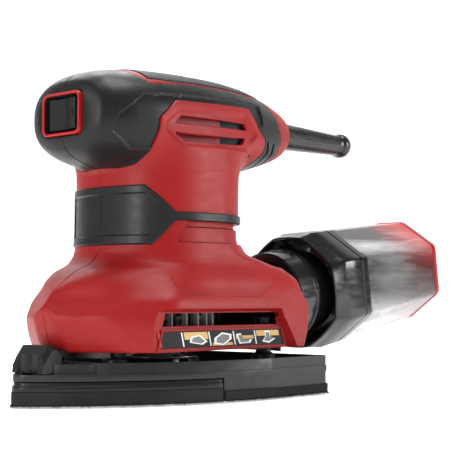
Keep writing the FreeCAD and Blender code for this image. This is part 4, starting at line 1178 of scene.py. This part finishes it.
def arc_points(centre, radius, start, end, step):
    """Points about step apart along an arc, without its end."""
    count = max(int(abs(end - start) * radius / step), 1)
    turn = np.linspace(start, end, count + 1)[:-1]
    return np.stack([centre[0] + radius * np.cos(turn), centre[1] + radius * np.sin(turn)], 1)


def line_points(start, end, step):
    """Points about step apart along a line, without its end."""
    start, end = np.array(start), np.array(end)
    count = max(int(np.linalg.norm(end - start) / step), 1)
    return start + (end - start) * np.arange(count)[:, None] / count


def pad_outline(inset, step):
    """The teardrop outline, anticlockwise from the nose, as (X, Y)."""
    nose_y = PAD_NOSE + PAD_NOSE_R
    reach = PAD_SIDE_Y - nose_y
    flank_r = (reach**2 + PAD_HALF_W**2 - PAD_NOSE_R**2) / (2 * (PAD_HALF_W - PAD_NOSE_R))
    centre = (PAD_HALF_W - flank_r, PAD_SIDE_Y)
    touch = math.atan2(nose_y - centre[1], -centre[0])
    half = [arc_points((0, nose_y), PAD_NOSE_R - inset, -math.pi / 2, touch, step)]
    half.append(arc_points(centre, flank_r - inset, touch, 0, step))
    corner = (PAD_HALF_W - PAD_CORNER, PAD_REAR - PAD_CORNER)
    half.append(line_points((PAD_HALF_W - inset, PAD_SIDE_Y), (PAD_HALF_W - inset, corner[1]), step))
    half.append(arc_points(corner, PAD_CORNER - inset, 0, math.pi / 2, step))
    half.append(line_points((corner[0], PAD_REAR - inset), (0, PAD_REAR - inset), step))
    half = np.concatenate(half)
    return np.concatenate([half, half[1:][::-1] * (-1, 1)])


def hook_sheets():
    """The two hook sheets: a thin backing each, stiff bristles under it and two ragged rows at its edge."""
    random = np.random.default_rng(7)
    outline = pad_outline(0.45, 1.0)
    turn = np.linspace(0, 2 * math.pi, 24, endpoint=False)
    circle = DUST_HOLE_R * np.stack([np.cos(turn), np.sin(turn)], 1)
    row = np.concatenate([pad_outline(inset, FRINGE_STEP) for inset in (0.1, 0.6)])
    across, along = np.meshgrid(np.arange(-48, 48.1, 1.7), np.arange(-76, 63, 1.7))
    field = np.stack([across.ravel(), along.ravel()], 1) + random.uniform(-0.5, 0.5, (across.size, 2))
    field = field[outline_distance(field[:, 0], field[:, 1], pad_outline(1.6, 2.0)) < 0]
    places = np.concatenate([row, field])
    for hole in DUST_HOLES:
        places = places[np.hypot(*(places - hole).T) > DUST_HOLE_R + 0.2]
    front, rear = TIP_SPLIT, TIP_SPLIT + TIP_GAP
    for name, body, node, inside in (
        ("tip_hooks", "tip", "tip_hook_sheet", lambda y: y < front),
        ("rear_hooks", "base", "rear_hook_sheet", lambda y: y > rear),
    ):
        edge = outline[inside(outline[:, 1])]
        cut = front if body == "tip" else rear
        side = math.sqrt(max((edge[:, 0] ** 2)[np.abs(edge[:, 1] - cut).argmin()], 0))
        edge = np.concatenate([edge, [(-side, cut), (side, cut)]])
        middle = edge.mean(0)
        edge = edge[np.argsort(np.arctan2(*(edge - middle).T[::-1]))]
        holes = [np.array(hole) + circle for hole in DUST_HOLES] if body == "base" else []
        backing = slab([edge] + holes, at_height(1.05), at_height(HOOK_TOP))
        tips = places[inside(places[:, 1])]
        piece(name, joined([backing, bristles(tips, random)]), "hook_sheet", body, "hook_sheet", node)


def bristles(places, random):
    """Stiff hooks as slender three-sided cones, from the backing down to the sanding plane."""
    turns = random.uniform(0, 2 * math.pi, len(places))
    lean = random.uniform(-0.25, 0.25, (len(places), 2))
    ends = np.maximum(random.uniform(-0.3, 0.8, len(places)), 0)
    vertices, faces = [], []
    for k, (x, y) in enumerate(places):
        for corner in range(3):
            angle = turns[k] + 2 * math.pi * corner / 3
            vertices.append((x + 0.2 * math.cos(angle), y + 0.2 * math.sin(angle), 1.1))
        vertices.append((x + lean[k, 0], y + lean[k, 1], ends[k]))
        first = 4 * k
        faces += [(first, first + 1, first + 2), (first, first + 3, first + 1)]
        faces += [(first + 1, first + 3, first + 2), (first + 2, first + 3, first)]
    return np.array(vertices), faces


hook_sheets()

# --- the dust box, along its own tilted axis ---

CAN_HALF_W, CAN_HALF_H, CAN_FLAT_TOP, CAN_FLAT_SIDE = 29.7, 29.0, 9.0, 14.3
CAP_FROM, CAP_TO, END_FROM, CAN_END = 40.5, 62.0, 126.5, 131.5
CAN_TAPER = 0.027
COLLAR_IN, COLLAR_OUT = 17.3, 22.0
CORNER_STEPS = 5
SIDE_STEPS = 6  # points added along each flat side


def on_dust_axis(x, up, along):
    """Points given across, above and along the dust axis, in the part's frame."""
    y = DUST_START[1] - up * math.sin(DUST_TILT) + along * math.cos(DUST_TILT)
    z = DUST_START[2] + up * math.cos(DUST_TILT) + along * math.sin(DUST_TILT)
    return np.stack([x, y, z], 1)


def octagon(inset, along):
    """The box's eight-sided section with corners that grow rounder along it, as (across, above)."""
    corner = 3.0 + 4.0 * max(along - CAP_TO, 0) / (CAN_END - CAP_TO)
    inset = inset + CAN_TAPER * (along - CAP_FROM)
    slope = math.atan2(CAN_HALF_H - CAN_FLAT_SIDE, CAN_HALF_W - CAN_FLAT_TOP)
    side = CAN_FLAT_SIDE - inset * (1 - math.sin(slope)) / math.cos(slope)
    top = CAN_FLAT_TOP - inset * (1 - math.cos(slope)) / math.sin(slope)
    wide, high = CAN_HALF_W - inset, CAN_HALF_H - inset
    corners = np.array([
        (wide, -side), (wide, side), (top, high), (-top, high),
        (-wide, side), (-wide, -side), (-top, -high), (top, -high),
    ])
    points = []
    for k in range(8):
        before, here, after = corners[k - 1], corners[k], corners[(k + 1) % 8]
        back = (before - here) / np.linalg.norm(before - here)
        ahead = (after - here) / np.linalg.norm(after - here)
        reach = max(corner - inset, 0.5) * math.tan(math.acos(-back @ ahead) / 2)
        for step in range(CORNER_STEPS):
            t = step / (CORNER_STEPS - 1)
            points.append(here + reach * ((1 - t) ** 2 * back + t**2 * ahead))
    dense = []
    for k, here in enumerate(points):
        dense.append(here)
        if k % CORNER_STEPS == CORNER_STEPS - 1:
            ahead = points[(k + 1) % len(points)]
            dense += [here + (ahead - here) * step / (SIDE_STEPS + 1) for step in range(1, SIDE_STEPS + 1)]
    return np.array(dense)


def octagon_ring(inset, along):
    flat = octagon(inset, along)
    return on_dust_axis(flat[:, 0], flat[:, 1], along)


def octagon_rings(sections):
    return [octagon_ring(inset, along) for inset, along in sections]


def circle_ring(radius, along):
    """A round ring whose points face those of the octagon."""
    flat = octagon(0, CAP_FROM)
    flat = radius * flat / np.linalg.norm(flat, axis=1)[:, None]
    return on_dust_axis(flat[:, 0], flat[:, 1], along)


def dust_cap():
    """The collar that pushes onto the spigot, the hollow bowl behind it and the bin cap's wide rim."""
    collar = [(COLLAR_IN, 16.5), (COLLAR_IN + 0.5, 16.0), (COLLAR_OUT - 0.8, 16.0), (COLLAR_OUT, 16.8)]
    collar += [(COLLAR_OUT, 27.6), (COLLAR_OUT + 0.6, 28.2), (COLLAR_OUT + 0.6, 29.6), (COLLAR_OUT, 30.2)]
    collar += [(COLLAR_OUT - 1.4, 31.0), (COLLAR_OUT - 1.6, 44.0)]
    rings = [circle_ring(radius, along) for radius, along in collar]
    bowl = [(5.0, 45.5), (3.9, 44.5)]
    lip = [(26.2, 35.6), (26.5, 35.0), (27.1, 34.8), (27.7, 35.2)]
    shoulder = [(0.5, 42.6), (0.0, 44.0)]
    wall = [(0.0, 56.6), (0.5, 57.0), (0.5, 57.6), (0.0, 58.0), (0.0, CAP_TO - 0.6), (0.5, CAP_TO)]
    inside = [(2.4, CAP_TO), (2.4, 48.5), (8.0, 47.5)]
    rings += octagon_rings(bowl)
    for radius, along in lip:
        # the lip is between a circle and the octagon
        rings.append(0.5 * circle_ring(radius, along) + 0.5 * octagon_ring(28.8 - radius, along))
    rings += octagon_rings(shoulder + wall + inside)
    rings += [circle_ring(COLLAR_IN + 0.3, 47.0), circle_ring(COLLAR_IN, 46.0)]
    box = loft(rings, "joined")
    piece("dust_box_shell", box, "glossy_black", "dust_cap", "black_plastic", "dust_box_cap", sharp=28)


def cup(outer, inner):
    """A cup from the (inset, along) sections of its two faces. Its end is flat outside and inside."""
    count = len(octagon(0, CAP_FROM))
    vertices, faces = loft(octagon_rings(outer + inner), "joined")
    # no band runs between the last section outside and the first one inside; a flat face closes each
    last, first = (len(outer) - 1) * count, len(outer) * count
    faces = [face for face in faces if not (last <= min(face) and max(face) < first + count)]
    faces.append(tuple(range(last, last + count)))
    faces.append(tuple(range(first, first + count))[::-1])
    return vertices, faces


def clear_bin():
    wall = 1.6
    outer = [(2.9, 54.5), (2.7, 55.2), (2.7, 62.4), (0.3, 62.4), (0.0, 62.8), (0.0, 64.6), (0.3, 65.0)]
    outer += [(0.3, END_FROM - 0.3), (2.3, END_FROM - 0.2), (2.3, CAN_END - 2.4)]
    inner = [(2.3 + wall, CAN_END - 4.2), (2.3 + wall, 120.0), (2.7 + wall, 66.0), (2.7 + wall, 55.2)]
    inner.append((2.7 + wall - 0.2, 54.5))
    piece("clear_bin_shell", cup(outer, inner), "clear_bin", "dust_bin", "clear_bin", "canister", sharp=28)


def red_end_cap():
    outer = [(2.1, END_FROM + 0.2), (0.5, END_FROM + 0.1), (0.0, END_FROM + 0.6)]
    # the rounded edge and the face, dished a little in its middle, by their distance from the end
    edge = [(0.0, 2.8), (0.25, 1.6), (1.0, 0.6), (2.2, 0.1), (3.4, 0.0), (5.0, 0.05), (6.0, 0.7), (12.0, 0.8)]
    outer += [(inset, CAN_END - back) for inset, back in edge]
    inner = [(12.0, CAN_END - 2.2), (2.1, CAN_END - 2.2)]
    piece("red_end", cup(outer, inner), "red_trim", "dust_bin", "red_trim", "end_cap", sharp=28)


dust_cap()
clear_bin()
red_end_cap()

# --- floor, light and camera ---


def stage_floor():
    """A pale floor that curves up into a backdrop behind the tool."""
    surface = Surface("pale_floor", (0.86, 0.86, 0.86), 0.7, Emission_Strength=0.62)
    surface.shader.inputs["Emission Color"].default_value = (1, 1, 1, 1)
    surface.tint(surface.ramp(surface.noise(3.0), 0, 1), (0.85, 0.85, 0.85), (0.87, 0.87, 0.87))
    bend_from, bend = 1.2, 0.8
    profile = [(-3.0, 0.0), (bend_from, 0.0)]
    for k in range(1, 9):
        angle = math.radians(90) * k / 8
        profile.append((bend_from + bend * math.sin(angle), bend - bend * math.cos(angle)))
    profile.append((bend_from + bend, 3.0))
    points = []
    for distance, height in profile:
        for side in (-3.0, 3.0):
            # the backdrop stands across the camera's view
            x = (-distance + side) * math.sqrt(0.5)
            y = (distance + side) * math.sqrt(0.5)
            points.append((x, y, height))
    faces = [(2 * k, 2 * k + 1, 2 * k + 3, 2 * k + 2) for k in range(len(profile) - 1)]
    mesh = bpy.data.meshes.new("floor")
    mesh.from_pydata(points, [], faces)
    for polygon in mesh.polygons:
        polygon.use_smooth = True
    mesh.materials.append(surface.material)
    floor = bpy.data.objects.new("floor", mesh)
    bpy.context.scene.collection.objects.link(floor)


def area_light(name, where, target, size, power):
    light = bpy.data.lights.new(name, "AREA")
    light.shape = "RECTANGLE"
    light.size, light.size_y = size
    light.energy = power
    obj = bpy.data.objects.new(name, light)
    obj.location = where
    obj.rotation_euler = (Vector(target) - Vector(where)).to_track_quat("-Z", "Y").to_euler()
    bpy.context.scene.collection.objects.link(obj)


def lights():
    world = bpy.data.worlds.new("studio")
    bpy.context.scene.world = world
    world.use_nodes = True
    background = world.node_tree.nodes["Background"]
    background.inputs["Color"].default_value = (1.0, 1.0, 1.0, 1)
    background.inputs["Strength"].default_value = 0.13
    middle = (0, 0, 0.07)
    area_light("overhead", (0.1, 0.05, 1.0), middle, (0.6, 0.5), 9.0)
    area_light("rim", (-0.65, 0.42, 0.85), middle, (0.6, 0.5), 3.5)
    area_light("key", (-0.35, -0.9, 0.6), middle, (0.5, 0.5), 3.5)
    area_light("side", (0.9, 0.75, 0.35), middle, (0.4, 0.5), 8.0)
    area_light("front", (0.1, -1.0, 0.25), middle, (0.25, 0.5), 4.5)


def camera():
    """Forty-five degrees round from the nose, low, and turned a little to the right and up."""
    ahead, right, up = Vector((-0.7071, 0.7071, 0)), Vector((0.7071, 0.7071, 0)), Vector((0, 0, 1))
    aim = ahead + right * 0.05805084746 + up * 0.06355932203
    data = bpy.data.cameras.new("camera")
    data.sensor_width = 36.0
    data.lens = 94.4
    obj = bpy.data.objects.new("camera", data)
    obj.location = (0.3677, -0.3677, 0.0423)
    obj.rotation_euler = aim.to_track_quat("-Z", "Y").to_euler()
    bpy.context.scene.collection.objects.link(obj)
    bpy.context.scene.camera = obj


stage_floor()
lights()
camera()
bpy.context.scene.view_settings.view_transform = "Standard"
